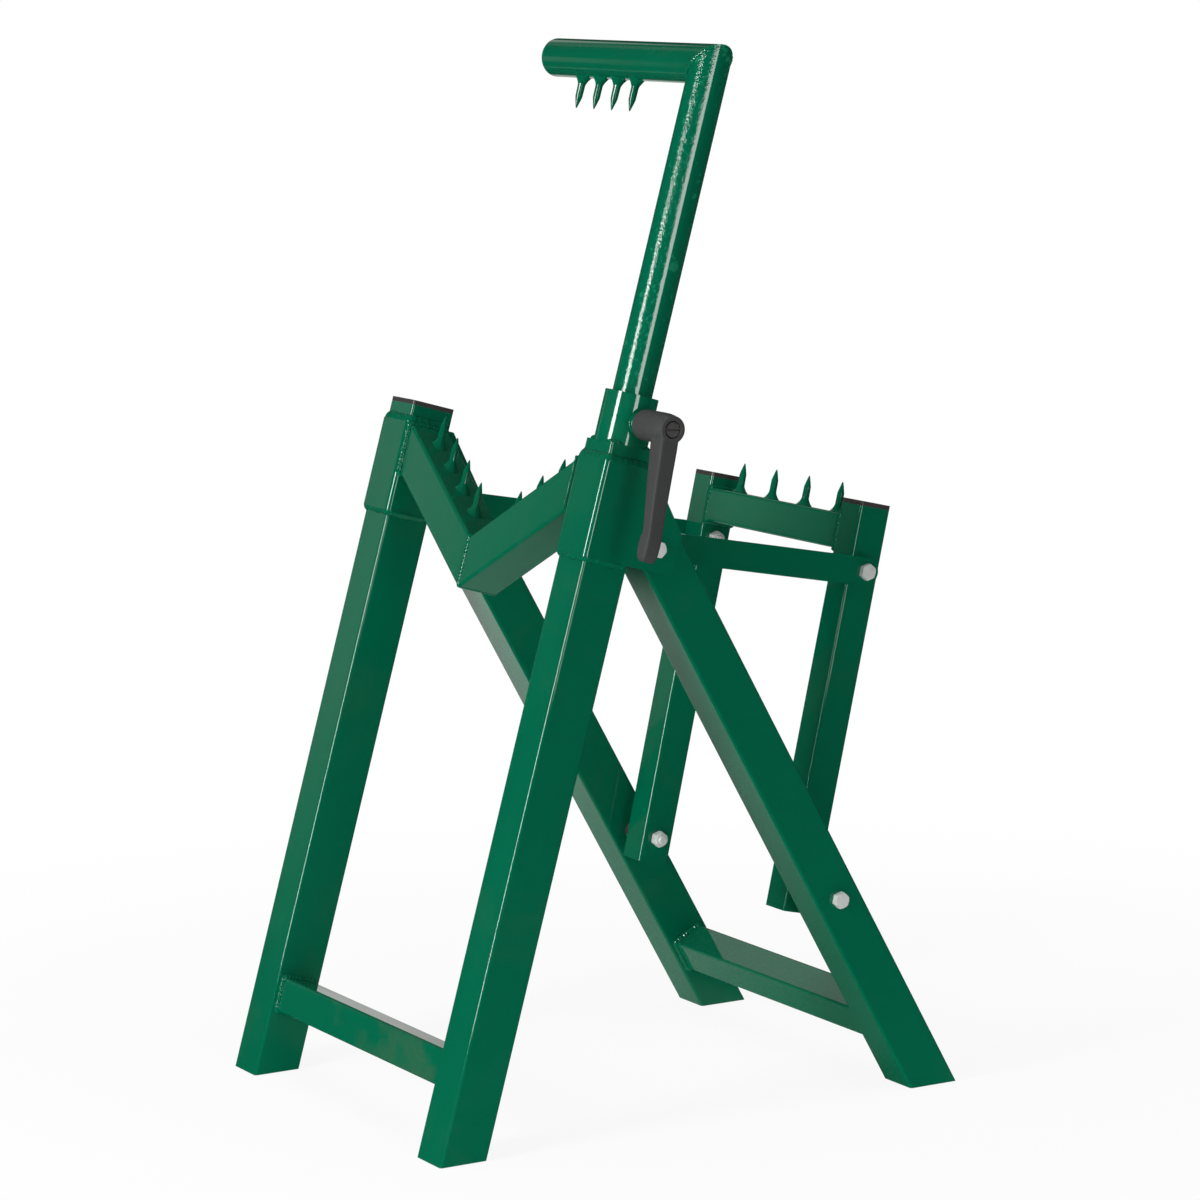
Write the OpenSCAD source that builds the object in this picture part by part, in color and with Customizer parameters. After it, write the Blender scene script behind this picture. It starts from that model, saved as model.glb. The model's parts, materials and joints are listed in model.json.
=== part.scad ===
// Folding steel saw stand with a spiked cradle and a sliding clamp arm. Sizes in millimetres.
// Two leaning front legs carry a spiked V cradle and, in the right leg, a sliding clamp arm.
// Two rear legs turn on bolts under the cradle and carry an upright support with its own spikes.
// X runs across the stand, Y from the cradle to the rear legs, Z up from the floor.

/* [Stance] */
// Distance between the axes of the two front legs
leg_spacing = 353; // [325:1:385]
// Rearward lean of the front legs from the vertical, in degrees
front_lean = 16.25; // [14:0.25:18]
// Angle between front and rear legs when the stand is open, in degrees
leg_spread = 45; // [41:0.5:49]
// Length of the front legs along their axis, from the floor
front_leg_length = 610; // [570:1:650]

/* [Square tube] */
// Width of the tube of the legs
leg_tube = 42.5; // [40:0.5:45]
// Wall of the leg tube
leg_wall = 2; // [1.8:0.1:2.4]
// Outer corner radius of the leg tube
leg_corner = 2.5; // [2.4:0.1:3.5]
// Inner corner radius of every square tube
inner_corner = 1.2; // [0.8:0.1:1.6]
// Width of the tube of the crossbars and of the rear support
bar_tube = 31; // [28:0.5:33]
// Wall of the crossbar tube
bar_wall = 1.5; // [1.3:0.1:1.9]
// Outer corner radius of the crossbar tube
bar_corner = 2.5; // [2.4:0.1:3.5]

/* [Crossbars] */
// Height of the front crossbar's axis along the front legs
front_crossbar_height = 70; // [60:1:85]
// Height of the rear crossbar's axis along the rear legs
rear_crossbar_height = 67; // [60:1:85]

/* [Pivot brackets] */
// Sheet that the bracket is folded from
bracket_thickness = 3; // [2.5:0.1:3.5]
// Height of the bracket along the leg
bracket_length = 81; // [74:0.5:88]
// How far the leg stands out above its bracket
bracket_drop = 16; // [12:0.5:20]
// Clearance between the cheeks and each side of the leg
bracket_gap = 0.4; // [0.3:0.05:0.6]
// Outside radius of the two folds
fold_radius = 4.5; // [4:0.1:6]
// Radius of the cheeks' lower rear corner
lobe_radius = 10; // [8:0.5:14]
// How far the cheeks reach behind the pivot
cheek_reach = 21; // [19:0.5:24]
// Height above the pivot where the cheeks' rear edge turns towards the leg
cheek_shoulder = 16; // [12:0.5:20]
// How far the cheeks' top corner stands behind the leg
cheek_crown = 2.5; // [1:0.5:6]
// Distance of the pivot behind the front leg
pivot_offset = 21.5; // [21:0.1:24]
// Height of the pivot above the bracket's lower edge
pivot_rise = 19.5; // [18:0.1:22]
// How far the pivot lies in front of the rear leg's middle
pivot_lead = 4.5; // [3:0.1:5]
// Gap between the rear leg's slanted top and the front leg that it rests against
rest_gap = 0.3; // [0.2:0.05:0.5]

/* [V cradle] */
// Width of the tube of the cradle
cradle_tube = 39.5; // [37:0.5:40]
// Rise of the cradle arms from the horizontal, in degrees
cradle_angle = 29.75; // [27:0.25:33]
// Distance of the first spike from the middle of the cradle
cradle_spike_first = 36; // [32:0.5:40]
// Distance from one cradle spike to the next
cradle_spike_pitch = 30; // [26:0.5:32]
// Spikes on each cradle arm
cradle_spike_count = 4; // [3:1:4]

/* [Spikes] */
// Diameter of a spike
spike_diameter = 6.2; // [5:0.1:8]
// Length of a spike above the tube that it is welded to
spike_length = 27; // [22:0.5:32]
// Length of the pointed end
spike_point = 10; // [7:0.5:14]
// Diameter left at the very end of the point
spike_tip = 0.8; // [0.5:0.1:1.2]
// Width of the weld round the foot of a spike
spike_weld = 5; // [4:0.1:5.5]
// Height of the weld round the foot of a spike
spike_weld_height = 7.5; // [6:0.1:9]

/* [Rear support] */
// Distance of the support bolt below the pivot, along the rear leg
support_mount = 368.5; // [350:0.5:380]
// Rearward lean of the support, in degrees
support_lean = 13.25; // [11:0.25:15.5]
// Length of the support legs
support_length = 360; // [340:1:385]
// How far the support legs reach below their bolt
support_tail = 22.5; // [20:0.5:25]
// Length of the spacer between a rear leg and its support leg
support_spacer = 15.5; // [14:0.1:18]
// Depth of the stay's bolt below the tops of the support legs
stay_drop = 56; // [48:0.5:64]
// Width of the flat bar of the stays
stay_width = 25; // [22:0.5:28]
// Thickness of the stays
stay_thickness = 4; // [3:0.1:5]
// Depth of the support crossbar's upper side below the leg tops
support_crossbar_drop = 10; // [6:0.5:14]
// Distance from one support spike to the next
support_spike_pitch = 54.5; // [48:0.5:58]
// Spikes on the support crossbar
support_spike_count = 4; // [3:1:4]

/* [Clamp arm] */
// Clearance of the post inside the leg, all round
post_play = 2.4; // [2.1:0.05:2.7]
// Wall of the round tube
arm_wall = 2.6; // [2.3:0.1:3.2]
// Height of the bar's axis above the top of the leg
arm_rise = 324.5; // [300:0.5:345]
// Reach of the bar from the post's axis to its free end
arm_reach = 252; // [240:0.5:280]
// Length of the post below the bar's axis
post_length = 440; // [410:1:460]
// Distance of the nearest spike from the post's axis
arm_spike_first = 112.5; // [102:0.5:122]
// Distance from one arm spike to the next
arm_spike_pitch = 30.5; // [27:0.5:33]
// Spikes under the bar
arm_spike_count = 4; // [3:1:4]
// Height of the guide plug's square head
guide_head = 20; // [15:0.5:30]
// Length of the guide plug's round spigot
guide_spigot = 25; // [18:0.5:35]
// Clearance of the guide plug inside the leg, all round
guide_gap = 0.3; // [0.25:0.05:0.45]

/* [Clamp lever] */
// Height of the sleeve on top of the right leg
sleeve_height = 43; // [40:0.5:48]
// Wall of the sleeve
sleeve_wall = 5.5; // [5:0.1:6]
// Clearance between sleeve and post, all round
sleeve_gap = 0.35; // [0.3:0.05:0.45]
// Height of the clamp stud's axis above the top of the leg
lever_height = 20; // [18:0.5:22]
// Diameter of the boss on the side of the sleeve
boss_diameter = 17; // [16:0.5:20]
// Distance of the boss's end from the post's axis
boss_end = 30; // [27:0.5:33]
// Diameter of the clamp stud
stud_diameter = 10; // [8:0.5:11]
// Gap between the stud's tip and the post when it is just slack
stud_gap = 0.3; // [0.2:0.05:0.35]
// Gap between the boss and the hub of the lever
hub_gap = 0.6; // [0.5:0.05:0.8]
// Length of the hub
hub_length = 46.4; // [44:0.2:50]
// Diameter of the hub
hub_base = 26; // [25:0.5:28]
// Radius of the hub's edge next to the boss
hub_round = 2.5; // [1.5:0.1:3]
// Length of the cone at the hub's outer end
hub_cone = 11; // [8:0.5:14]
// Diameter of the hub at its outer end
hub_tip = 22; // [21:0.5:24]
// Length of the lever below the hub's axis
lever_length = 111; // [104:1:120]
// How far the lever slopes outwards
lever_splay = 12; // [10:0.5:14]
// Thickness of the lever where it leaves the hub
lever_root = 20; // [18:0.5:21]
// Thickness of the lever above its grip
lever_blade = 11; // [10:0.5:13]
// Extra thickness of the grip at the lower end
lever_swell = 3.5; // [2:0.5:4.5]
// Length of the grip
lever_grip = 23; // [20:0.5:28]
// Radius of the grip's lower corners
grip_corner = 4; // [3:0.5:5]
// Width of the lever at the hub
lever_width = 16.5; // [15:0.5:18]
// Width of the lever at its tip
lever_tip_width = 13; // [11:0.5:14]

/* [Lever works] */
// Teeth between the insert and the lever
tooth_count = 12; // [10:1:14]
// Diameter over the teeth of the insert
tooth_tip = 17; // [16:0.2:18]
// Diameter between the teeth of the insert
tooth_root = 14.4; // [13.6:0.2:15]
// Length of the teeth
tooth_length = 4.5; // [3.5:0.1:4.6]
// Gap between the teeth of the insert and of the lever
tooth_gap = 0.3; // [0.25:0.05:0.4]
// Diameter of the insert's smooth neck
neck_diameter = 12.4; // [11.4:0.2:13]
// Length of the insert from the teeth's lower end
insert_length = 23.7; // [21:0.1:25]
// Thickness of the web inside the hub
web_thickness = 3; // [2.5:0.1:3.5]
// Bore of the hub outside the web
recess_diameter = 14.4; // [14:0.2:16]
// Free room of the return spring between the web and the screw's head
spring_length = 15; // [13.8:0.1:15.4]
// Mean diameter of the spring's coils
spring_diameter = 10; // [9.4:0.1:10.6]
// Wire of the spring
spring_wire = 1.1; // [0.9:0.05:1.2]
// Turns of the spring
spring_turns = 4; // [3:0.5:5]
// Diameter of the retaining screw
screw_diameter = 6; // [5:0.1:6.4]
// Diameter of the retaining screw's head
screw_head = 12.6; // [12:0.2:13.2]
// Height of the retaining screw's head
screw_head_height = 4.2; // [3.5:0.1:4.6]
// Depth that the retaining screw reaches into the insert
screw_grip = 12; // [10:0.5:15]
// Width of the screwdriver slot
slot_width = 1.6; // [1.2:0.1:2]
// Depth of the screwdriver slot
slot_depth = 2; // [1.5:0.1:2.5]
// Turn of the screwdriver slot out of the level, in degrees
slot_turn = 10.5; // [0:0.5:45]

/* [Bolts and nuts] */
// Diameter of the bolts
bolt_diameter = 8; // [7:0.5:9]
// Width across the flats of heads and nuts
hex_across = 13; // [12:0.5:15]
// Height of a bolt's head
head_height = 5.3; // [4.5:0.1:6]
// Height of the six-sided part of a nut
nut_height = 6; // [5:0.1:7]
// Height of the locking collar on a nut
nut_collar = 2; // [1.5:0.1:2.5]
// Length of bolt that shows beyond a nut
bolt_end = 2; // [1:0.5:4]
// Bevel on the corners of heads, nuts and bolt ends
hex_bevel = 0.8; // [0.6:0.05:1]
// Turn of the pivot bolts' heads about their axes, in degrees
pivot_turn = 30; // [0:5:60]
// Outer diameter of the spacers
spacer_diameter = 16; // [14:0.5:18]
// Fit of a pin or spigot in its bore, all round
running_fit = 0.05; // [0.03:0.01:0.08]
// Fit of a spacer or screw that doesn't turn, all round
loose_fit = 0.2; // [0.1:0.05:0.3]
// Side play between parts that turn against each other
side_play = 0.2; // [0.1:0.05:0.3]

/* [Caps] */
// Thickness of a cap's rim
cap_rim = 4; // [3:0.5:6]
// Depth of a cap's plug inside its tube
cap_plug = 14; // [10:0.5:20]
// Wall of a cap's plug
cap_wall = 2; // [1.5:0.1:3]
// Fit of a cap's plug in its tube, all round
cap_fit = 0.1; // [0.05:0.05:0.2]

/* [Hidden] */
$fn = 96;
green = [0.02, 0.30, 0.20];
dark = [0.16, 0.17, 0.18];
zinc = [0.75, 0.76, 0.78];
nylon = [0.85, 0.84, 0.80];

// Leg geometry, seen from the side
rear_lean = leg_spread - front_lean;
bracket_top = front_leg_length - bracket_drop;
bracket_bottom = bracket_top - bracket_length;
pivot_s = bracket_bottom + pivot_rise;
pivot_t = leg_tube / 2 + pivot_offset;
pivot_y = pivot_s * sin(front_lean) + pivot_t * cos(front_lean);
pivot_z = pivot_s * cos(front_lean) - pivot_t * sin(front_lean);
rear_leg_length = (pivot_z + pivot_lead * sin(rear_lean)) / cos(rear_lean);
foot_y = pivot_y + pivot_z * tan(rear_lean) + pivot_lead / cos(rear_lean);
mount_y = pivot_y + pivot_lead * cos(rear_lean) + support_mount * sin(rear_lean);
mount_z = pivot_z + pivot_lead * sin(rear_lean) - support_mount * cos(rear_lean);
support_top = support_length - support_tail;
stay_height = support_top - stay_drop;
stay_y = mount_y + stay_height * sin(support_lean);
stay_z = mount_z + stay_height * cos(support_lean);
stay_length = norm([stay_y - pivot_y, stay_z - pivot_z]);
stay_dip = atan2(stay_z - pivot_z, stay_y - pivot_y);

// Positions across the stand
leg_x = leg_spacing / 2;
leg_inside = leg_x - leg_tube / 2;
leg_outside = leg_x + leg_tube / 2;
channel_half = leg_tube / 2 + bracket_gap + bracket_thickness;
channel_front = leg_tube / 2 + bracket_thickness;
cradle_face = leg_x - channel_half;
support_outside = leg_inside - support_spacer;
support_inside = support_outside - bar_tube;
nut_total = nut_height + nut_collar;

// Cheek of the bracket: its rear edge, and the centre of its round corner
cheek_back = pivot_t + cheek_reach;
lobe = [cheek_back - lobe_radius, bracket_bottom + lobe_radius];

// Cradle, flush with the front of the legs, and support
cradle_vertex = bracket_top - cradle_face * tan(cradle_angle);
cradle_axis = cradle_vertex - cradle_tube / 2 / cos(cradle_angle);
cradle_set = (cradle_tube - leg_tube) / 2;
support_bar_top = support_top - support_crossbar_drop;
spike_root = leg_tube / 4;
weld_spread = spike_weld * (1 + spike_weld / spike_weld_height);
support_spike_first = -support_spike_pitch * (support_spike_count - 1) / 2;

// Clamp arm and lever
leg_bore = leg_tube - 2 * leg_wall;
arm_diameter = leg_bore - 2 * post_play;
arm_bore = arm_diameter - 2 * arm_wall;
arm_corner = front_leg_length + arm_rise;
mitre_angle = 45;
post_end = arm_corner - post_length;
sleeve_bore = arm_diameter + 2 * sleeve_gap;
sleeve_diameter = sleeve_bore + 2 * sleeve_wall;
lever_s = front_leg_length + lever_height;
stud_tip = arm_diameter / 2 + stud_gap;
insert_base = boss_end + hub_gap / 2;
insert_end = insert_base + insert_length;
hub_start = boss_end + hub_gap;
hub_end = hub_start + hub_length;
grip_outside = hub_end + lever_splay;
web_start = insert_end + side_play;
web_end = web_start + web_thickness;
head_start = web_end + spring_length;
tooth_width = PI * tooth_root / tooth_count / 2;

// The origin lies on the floor, in the middle of the stand's outline
centre_x = (grip_outside - channel_half - head_height) / 2;
centre_y = (foot_y + leg_tube / 2 / cos(rear_lean) - leg_tube / 2 / cos(front_lean)) / 2;
reach = 2 * front_leg_length;

// Facets of the coil spring: sides of the wire, and rings in one turn
coil_sides = 6;
coil_rings = 16;

// Frames of reference

module stand_frame()
    translate([-centre_x, -centre_y, 0])
        children();

module left()
    mirror([1, 0, 0])
        children();

module both_sides() {
    children();
    left()
        children();
}

// Z along the front legs from the floor, Y out of their rear faces
module in_front()
    rotate([-front_lean, 0, 0])
        children();

// Z up the rear legs from the pivot
module in_rear()
    translate([0, pivot_y, pivot_z])
        rotate([rear_lean, 0, 0])
            children();

// Z up the support legs from their lower bolt
module in_support()
    translate([0, mount_y, mount_z])
        rotate([-support_lean, 0, 0])
            children();

// Z along the clamp stud, outwards from the post's axis
module in_lever()
    in_front()
        translate([leg_x, 0, lever_s])
            along_x()
                children();

module along_x()
    rotate([0, 90, 0])
        children();

// Stock sections and shared forms

module rounded_square(size, corner) {
    square([size, size - 2 * corner], center = true);
    square([size - 2 * corner, size], center = true);
    for (x = [-1, 1], y = [-1, 1])
        translate([x, y] * (size / 2 - corner))
            circle(corner);
}

module square_tube(size, wall, corner, length)
    linear_extrude(length)
        difference() {
            rounded_square(size, corner);
            rounded_square(size - 2 * wall, inner_corner);
        }

module round_tube(outer, inner, length)
    linear_extrude(length)
        difference() {
            circle(d = outer);
            circle(d = inner);
        }

module below_floor()
    translate([-reach, -reach, -reach])
        cube([2 * reach, 2 * reach, reach]);

// A pin bore right across the stand
module cross_bore(diameter)
    along_x()
        cylinder(d = diameter, h = leg_spacing + 2 * leg_tube, center = true);

// Pointed rod with a cone of weld round its foot, which follows a surface that rises at the slope;
// both run on into the tube, to be trimmed there
module spike(slope = 0) {
    rotate_extrude()
        polygon([
            [0, -spike_root],
            [spike_diameter / 2, -spike_root],
            [spike_diameter / 2, spike_length - spike_point],
            [spike_tip / 2, spike_length],
            [0, spike_length]
        ]);
    multmatrix([[1, 0, 0, 0], [0, 1, 0, 0], [tan(slope), 0, 1, 0]])
        rotate_extrude()
            polygon([
                [0, -spike_weld],
                [spike_diameter / 2 + weld_spread, -spike_weld],
                [spike_diameter / 2, spike_weld_height],
                [0, spike_weld_height]
            ]);
}

// Six-sided prism with bevelled corners on its upper end
module hex_prism(height)
    intersection() {
        cylinder(d = hex_across / cos(30), h = height, $fn = 6);
        rotate_extrude()
            polygon([
                [0, 0],
                [hex_across / 2 / cos(30), 0],
                [hex_across / 2 / cos(30), height - hex_bevel],
                [hex_across / 2, height],
                [0, height]
            ]);
    }

// Bolt with its seat at 0, the head above and the shank below
module hex_bolt(length) {
    hex_prism(head_height);
    rotate_extrude()
        polygon([
            [0, 0],
            [bolt_diameter / 2, 0],
            [bolt_diameter / 2, hex_bevel - length],
            [bolt_diameter / 2 - hex_bevel, -length],
            [0, -length]
        ]);
}

// Lock nut with its seat at 0, built downwards
module lock_nut()
    mirror([0, 0, 1])
        difference() {
            union() {
                hex_prism(nut_height);
                cylinder(d = hex_across - 2 * hex_bevel, h = nut_total);
            }
            translate([0, 0, -nut_total])
                cylinder(d = bolt_diameter + 2 * running_fit, h = 3 * nut_total);
        }

module spacer(length)
    round_tube(spacer_diameter, bolt_diameter + 2 * loose_fit, length);

// Plastic cap with a hollow plug, seat at 0
module tube_cap(size, wall, corner) {
    linear_extrude(cap_rim)
        rounded_square(size, corner);
    translate([0, 0, -cap_plug])
        square_tube(size - 2 * wall - 2 * cap_fit, cap_wall, cap_wall, cap_plug);
}

// Front frame

module front_leg()
    difference() {
        in_front()
            translate([leg_x, 0, -leg_tube])
                square_tube(leg_tube, leg_wall, leg_corner, front_leg_length + leg_tube);
        below_floor();
    }

module channel_section()
    difference() {
        union() {
            translate([-channel_half, fold_radius - channel_front])
                square([2 * channel_half, reach]);
            translate([fold_radius - channel_half, -channel_front])
                square([2 * (channel_half - fold_radius), 2 * fold_radius]);
            for (side = [-1, 1])
                translate([side * (channel_half - fold_radius), fold_radius - channel_front])
                    circle(fold_radius);
        }
        translate([-leg_tube / 2 - bracket_gap, -leg_tube / 2])
            square([leg_tube + 2 * bracket_gap, 2 * reach]);
    }

module cheek_outline() {
    polygon([
        [-leg_tube, bracket_bottom],
        [lobe[0], bracket_bottom],
        [cheek_back, lobe[1]],
        [cheek_back, pivot_s + cheek_shoulder],
        [leg_tube / 2 + cheek_crown, bracket_top],
        [-leg_tube, bracket_top]
    ]);
    translate(lobe)
        circle(lobe_radius);
}

module bracket()
    in_front()
        translate([leg_x, 0, 0])
            difference() {
                intersection() {
                    translate([0, 0, bracket_bottom])
                        linear_extrude(bracket_length)
                            channel_section();
                    rotate([90, 0, 90])
                        linear_extrude(4 * channel_half, center = true)
                            cheek_outline();
                }
                translate([0, pivot_t, pivot_s])
                    cross_bore(bolt_diameter + 2 * running_fit);
            }

module along_cradle()
    translate([0, cradle_set, cradle_axis])
        rotate([0, 90 - cradle_angle, 0])
            translate([0, 0, -cradle_tube])
                children();

module cradle_arm()
    in_front()
        intersection() {
            along_cradle()
                square_tube(cradle_tube, leg_wall, leg_corner, leg_spacing);
            translate([0, -leg_tube, 0])
                cube([cradle_face, 2 * leg_tube, front_leg_length]);
        }

module cradle_spike_row()
    in_front()
        difference() {
            for (i = [0 : cradle_spike_count - 1]) {
                x = cradle_spike_first + i * cradle_spike_pitch;
                translate([x, cradle_set, cradle_vertex + x * tan(cradle_angle)])
                    spike(cradle_angle);
            }
            along_cradle()
                translate([-cradle_tube / 2, -cradle_tube / 2, 0])
                    cube([cradle_tube, cradle_tube, leg_spacing]);
        }

module front_leg_left()
    color(green)
        stand_frame()
            left()
                front_leg();

module front_leg_right()
    color(green)
        stand_frame()
            front_leg();

module front_crossbar()
    color(green)
        stand_frame()
            in_front()
                translate([-leg_inside, 0, front_crossbar_height])
                    along_x()
                        square_tube(bar_tube, bar_wall, bar_corner, 2 * leg_inside);

module bracket_left()
    color(green)
        stand_frame()
            left()
                bracket();

module bracket_right()
    color(green)
        stand_frame()
            bracket();

module cradle_arm_left()
    color(green)
        stand_frame()
            left()
                cradle_arm();

module cradle_arm_right()
    color(green)
        stand_frame()
            cradle_arm();

module cradle_spikes_left()
    color(green)
        stand_frame()
            left()
                cradle_spike_row();

module cradle_spikes_right()
    color(green)
        stand_frame()
            cradle_spike_row();

module arm_sleeve()
    color(green)
        stand_frame()
            difference() {
                in_front()
                    translate([leg_x, 0, front_leg_length])
                        round_tube(sleeve_diameter, sleeve_bore, sleeve_height);
                in_lever()
                    cylinder(d = stud_diameter + 2 * running_fit, h = boss_end);
            }

module clamp_boss()
    color(green)
        stand_frame()
            difference() {
                in_lever()
                    round_tube(boss_diameter, stud_diameter + 2 * running_fit, boss_end);
                in_front()
                    translate([leg_x, 0, 0])
                        cylinder(d = sleeve_diameter, h = reach);
            }

module leg_cap()
    color(dark)
        stand_frame()
            left()
                in_front()
                    translate([leg_x, 0, front_leg_length])
                        tube_cap(leg_tube, leg_wall, leg_corner);

// The pivot bolt runs through bracket, rear leg, spacer and stay
module pivot_bolts()
    color(zinc)
        stand_frame()
            both_sides()
                in_front()
                    translate([leg_x + channel_half, pivot_t, pivot_s])
                        along_x()
                            rotate([0, 0, pivot_turn])
                                hex_bolt(leg_x + channel_half - support_outside
                                    + side_play + nut_total + bolt_end);

module pivot_spacers()
    color(zinc)
        stand_frame()
            both_sides()
                in_front()
                    translate([support_outside + stay_thickness + side_play, pivot_t, pivot_s])
                        along_x()
                            spacer(cradle_face - support_outside - stay_thickness - side_play);

module pivot_nuts()
    color(zinc)
        stand_frame()
            both_sides()
                in_front()
                    translate([support_outside - side_play, pivot_t, pivot_s])
                        along_x()
                            lock_nut();

// Rear frame

module rear_leg()
    difference() {
        in_rear()
            translate([leg_x, pivot_lead, -rear_leg_length - leg_tube])
                square_tube(leg_tube, leg_wall, leg_corner, rear_leg_length + bracket_length);
        in_front()
            translate([0, leg_tube / 2 + rest_gap - reach, 0])
                cube([reach, reach, reach]);
        below_floor();
        in_rear() {
            cross_bore(bolt_diameter + 2 * running_fit);
            translate([0, pivot_lead, -support_mount])
                cross_bore(bolt_diameter + 2 * running_fit);
        }
    }

module support_leg()
    in_support()
        difference() {
            translate([support_outside - bar_tube / 2, 0, -support_tail])
                square_tube(bar_tube, bar_wall, bar_corner, support_length);
            for (height = [0, stay_height])
                translate([0, 0, height])
                    cross_bore(bolt_diameter + 2 * running_fit);
        }

module support_cap()
    in_support()
        translate([support_outside - bar_tube / 2, 0, support_top])
            tube_cap(bar_tube, bar_wall, bar_corner);

module stay()
    translate([support_outside, pivot_y, pivot_z])
        rotate([stay_dip, 0, 0])
            rotate([90, 0, 90])
                linear_extrude(stay_thickness)
                    difference() {
                        union() {
                            translate([0, -stay_width / 2])
                                square([stay_length, stay_width]);
                            for (end = [0, stay_length])
                                translate([end, 0])
                                    circle(d = stay_width);
                        }
                        for (end = [0, stay_length])
                            translate([end, 0])
                                circle(d = bolt_diameter + 2 * running_fit);
                    }

module rear_leg_left()
    color(green)
        stand_frame()
            left()
                rear_leg();

module rear_leg_right()
    color(green)
        stand_frame()
            rear_leg();

module rear_crossbar()
    color(green)
        stand_frame()
            in_rear()
                translate([-leg_inside, pivot_lead, rear_crossbar_height - rear_leg_length])
                    along_x()
                        square_tube(bar_tube, bar_wall, bar_corner, 2 * leg_inside);

module support_leg_left()
    color(green)
        stand_frame()
            left()
                support_leg();

module support_leg_right()
    color(green)
        stand_frame()
            support_leg();

module support_crossbar()
    color(green)
        stand_frame()
            in_support()
                translate([-support_inside, 0, support_bar_top - bar_tube / 2])
                    along_x()
                        square_tube(bar_tube, bar_wall, bar_corner, 2 * support_inside);

module support_spikes()
    color(green)
        stand_frame()
            in_support()
                difference() {
                    for (i = [0 : support_spike_count - 1])
                        translate([support_spike_first + i * support_spike_pitch, 0, support_bar_top])
                            spike();
                    translate([-support_inside, -bar_tube / 2, support_bar_top - bar_tube])
                        cube([2 * support_inside, bar_tube, bar_tube]);
                }

module support_cap_left()
    color(dark)
        stand_frame()
            left()
                support_cap();

module support_cap_right()
    color(dark)
        stand_frame()
            support_cap();

module stay_left()
    color(green)
        stand_frame()
            left()
                stay();

module stay_right()
    color(green)
        stand_frame()
            stay();

module support_bolts()
    color(zinc)
        stand_frame()
            both_sides()
                in_support()
                    translate([leg_outside, 0, 0])
                        along_x()
                            hex_bolt(leg_outside - support_inside + nut_total + bolt_end);

module support_spacers()
    color(dark)
        stand_frame()
            both_sides()
                in_support()
                    translate([support_outside, 0, 0])
                        along_x()
                            spacer(support_spacer);

module support_nuts()
    color(zinc)
        stand_frame()
            both_sides()
                in_support()
                    translate([support_inside, 0, 0])
                        along_x()
                            lock_nut();

module stay_bolts()
    color(zinc)
        stand_frame()
            both_sides()
                in_support()
                    translate([support_outside + stay_thickness, 0, stay_height])
                        along_x()
                            hex_bolt(stay_thickness + bar_tube + nut_total + bolt_end);

module stay_nuts()
    color(zinc)
        stand_frame()
            both_sides()
                in_support()
                    translate([support_inside, 0, stay_height])
                        along_x()
                            lock_nut();

// Clamp arm

// Square plug that slides in the leg; the post turns on its spigot
module arm_guide()
    color(nylon)
        stand_frame()
            in_front()
                translate([leg_x, 0, post_end - side_play]) {
                    translate([0, 0, -guide_head])
                        linear_extrude(guide_head)
                            rounded_square(leg_bore - 2 * guide_gap, leg_corner);
                    cylinder(d = arm_bore - 2 * running_fit, h = guide_spigot);
                }

// Everything on the far side of the corner's mitre
module mitre_cut(turn)
    translate([leg_x, 0, arm_corner])
        rotate([0, turn, 0])
            translate([-reach / 2, -reach / 2, 0])
                cube([reach, reach, reach]);

module arm_post()
    color(green)
        stand_frame()
            in_front()
                difference() {
                    translate([leg_x, 0, post_end])
                        round_tube(arm_diameter, arm_bore, post_length + arm_diameter);
                    mitre_cut(-mitre_angle);
                }

module arm_bar()
    color(green)
        stand_frame()
            in_front()
                difference() {
                    translate([leg_x - arm_reach, 0, arm_corner])
                        along_x()
                            round_tube(arm_diameter, arm_bore, arm_reach + arm_diameter);
                    mitre_cut(180 - mitre_angle);
                }

module arm_spikes()
    color(green)
        stand_frame()
            in_front()
                difference() {
                    for (i = [0 : arm_spike_count - 1])
                        translate([
                            leg_x - arm_spike_first - i * arm_spike_pitch,
                            0,
                            arm_corner - arm_diameter / 2
                        ])
                            rotate([180, 0, 0])
                                spike();
                    translate([leg_x - arm_reach, 0, arm_corner])
                        along_x()
                            cylinder(d = arm_diameter, h = arm_reach);
                }

module arm_cap()
    color(dark)
        stand_frame()
            in_front()
                translate([leg_x - arm_reach, 0, arm_corner])
                    along_x() {
                        translate([0, 0, -cap_rim])
                            cylinder(d = arm_diameter, h = cap_rim);
                        round_tube(arm_bore - 2 * cap_fit, arm_bore - 2 * cap_fit - 2 * cap_wall, cap_plug);
                    }

// Clamp lever

// Round core with square teeth; gap widens it into the matching bore
module toothed_section(gap) {
    circle(d = tooth_root + 2 * gap);
    for (i = [0 : tooth_count - 1])
        rotate(i * 360 / tooth_count)
            translate([0, -tooth_width / 2 - gap])
                square([tooth_tip / 2 + gap, tooth_width + 2 * gap]);
}

// Toothed insert with its stud, which presses on the post
module clamp_stud()
    color(zinc)
        stand_frame()
            in_lever()
                difference() {
                    union() {
                        translate([0, 0, stud_tip])
                            cylinder(d = stud_diameter, h = insert_base - stud_tip);
                        translate([0, 0, insert_base])
                            linear_extrude(tooth_length)
                                toothed_section(0);
                        translate([0, 0, insert_base])
                            cylinder(d = neck_diameter, h = insert_length);
                    }
                    translate([0, 0, insert_end - screw_grip])
                        cylinder(d = screw_diameter + 2 * running_fit, h = screw_grip + side_play);
                }

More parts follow.
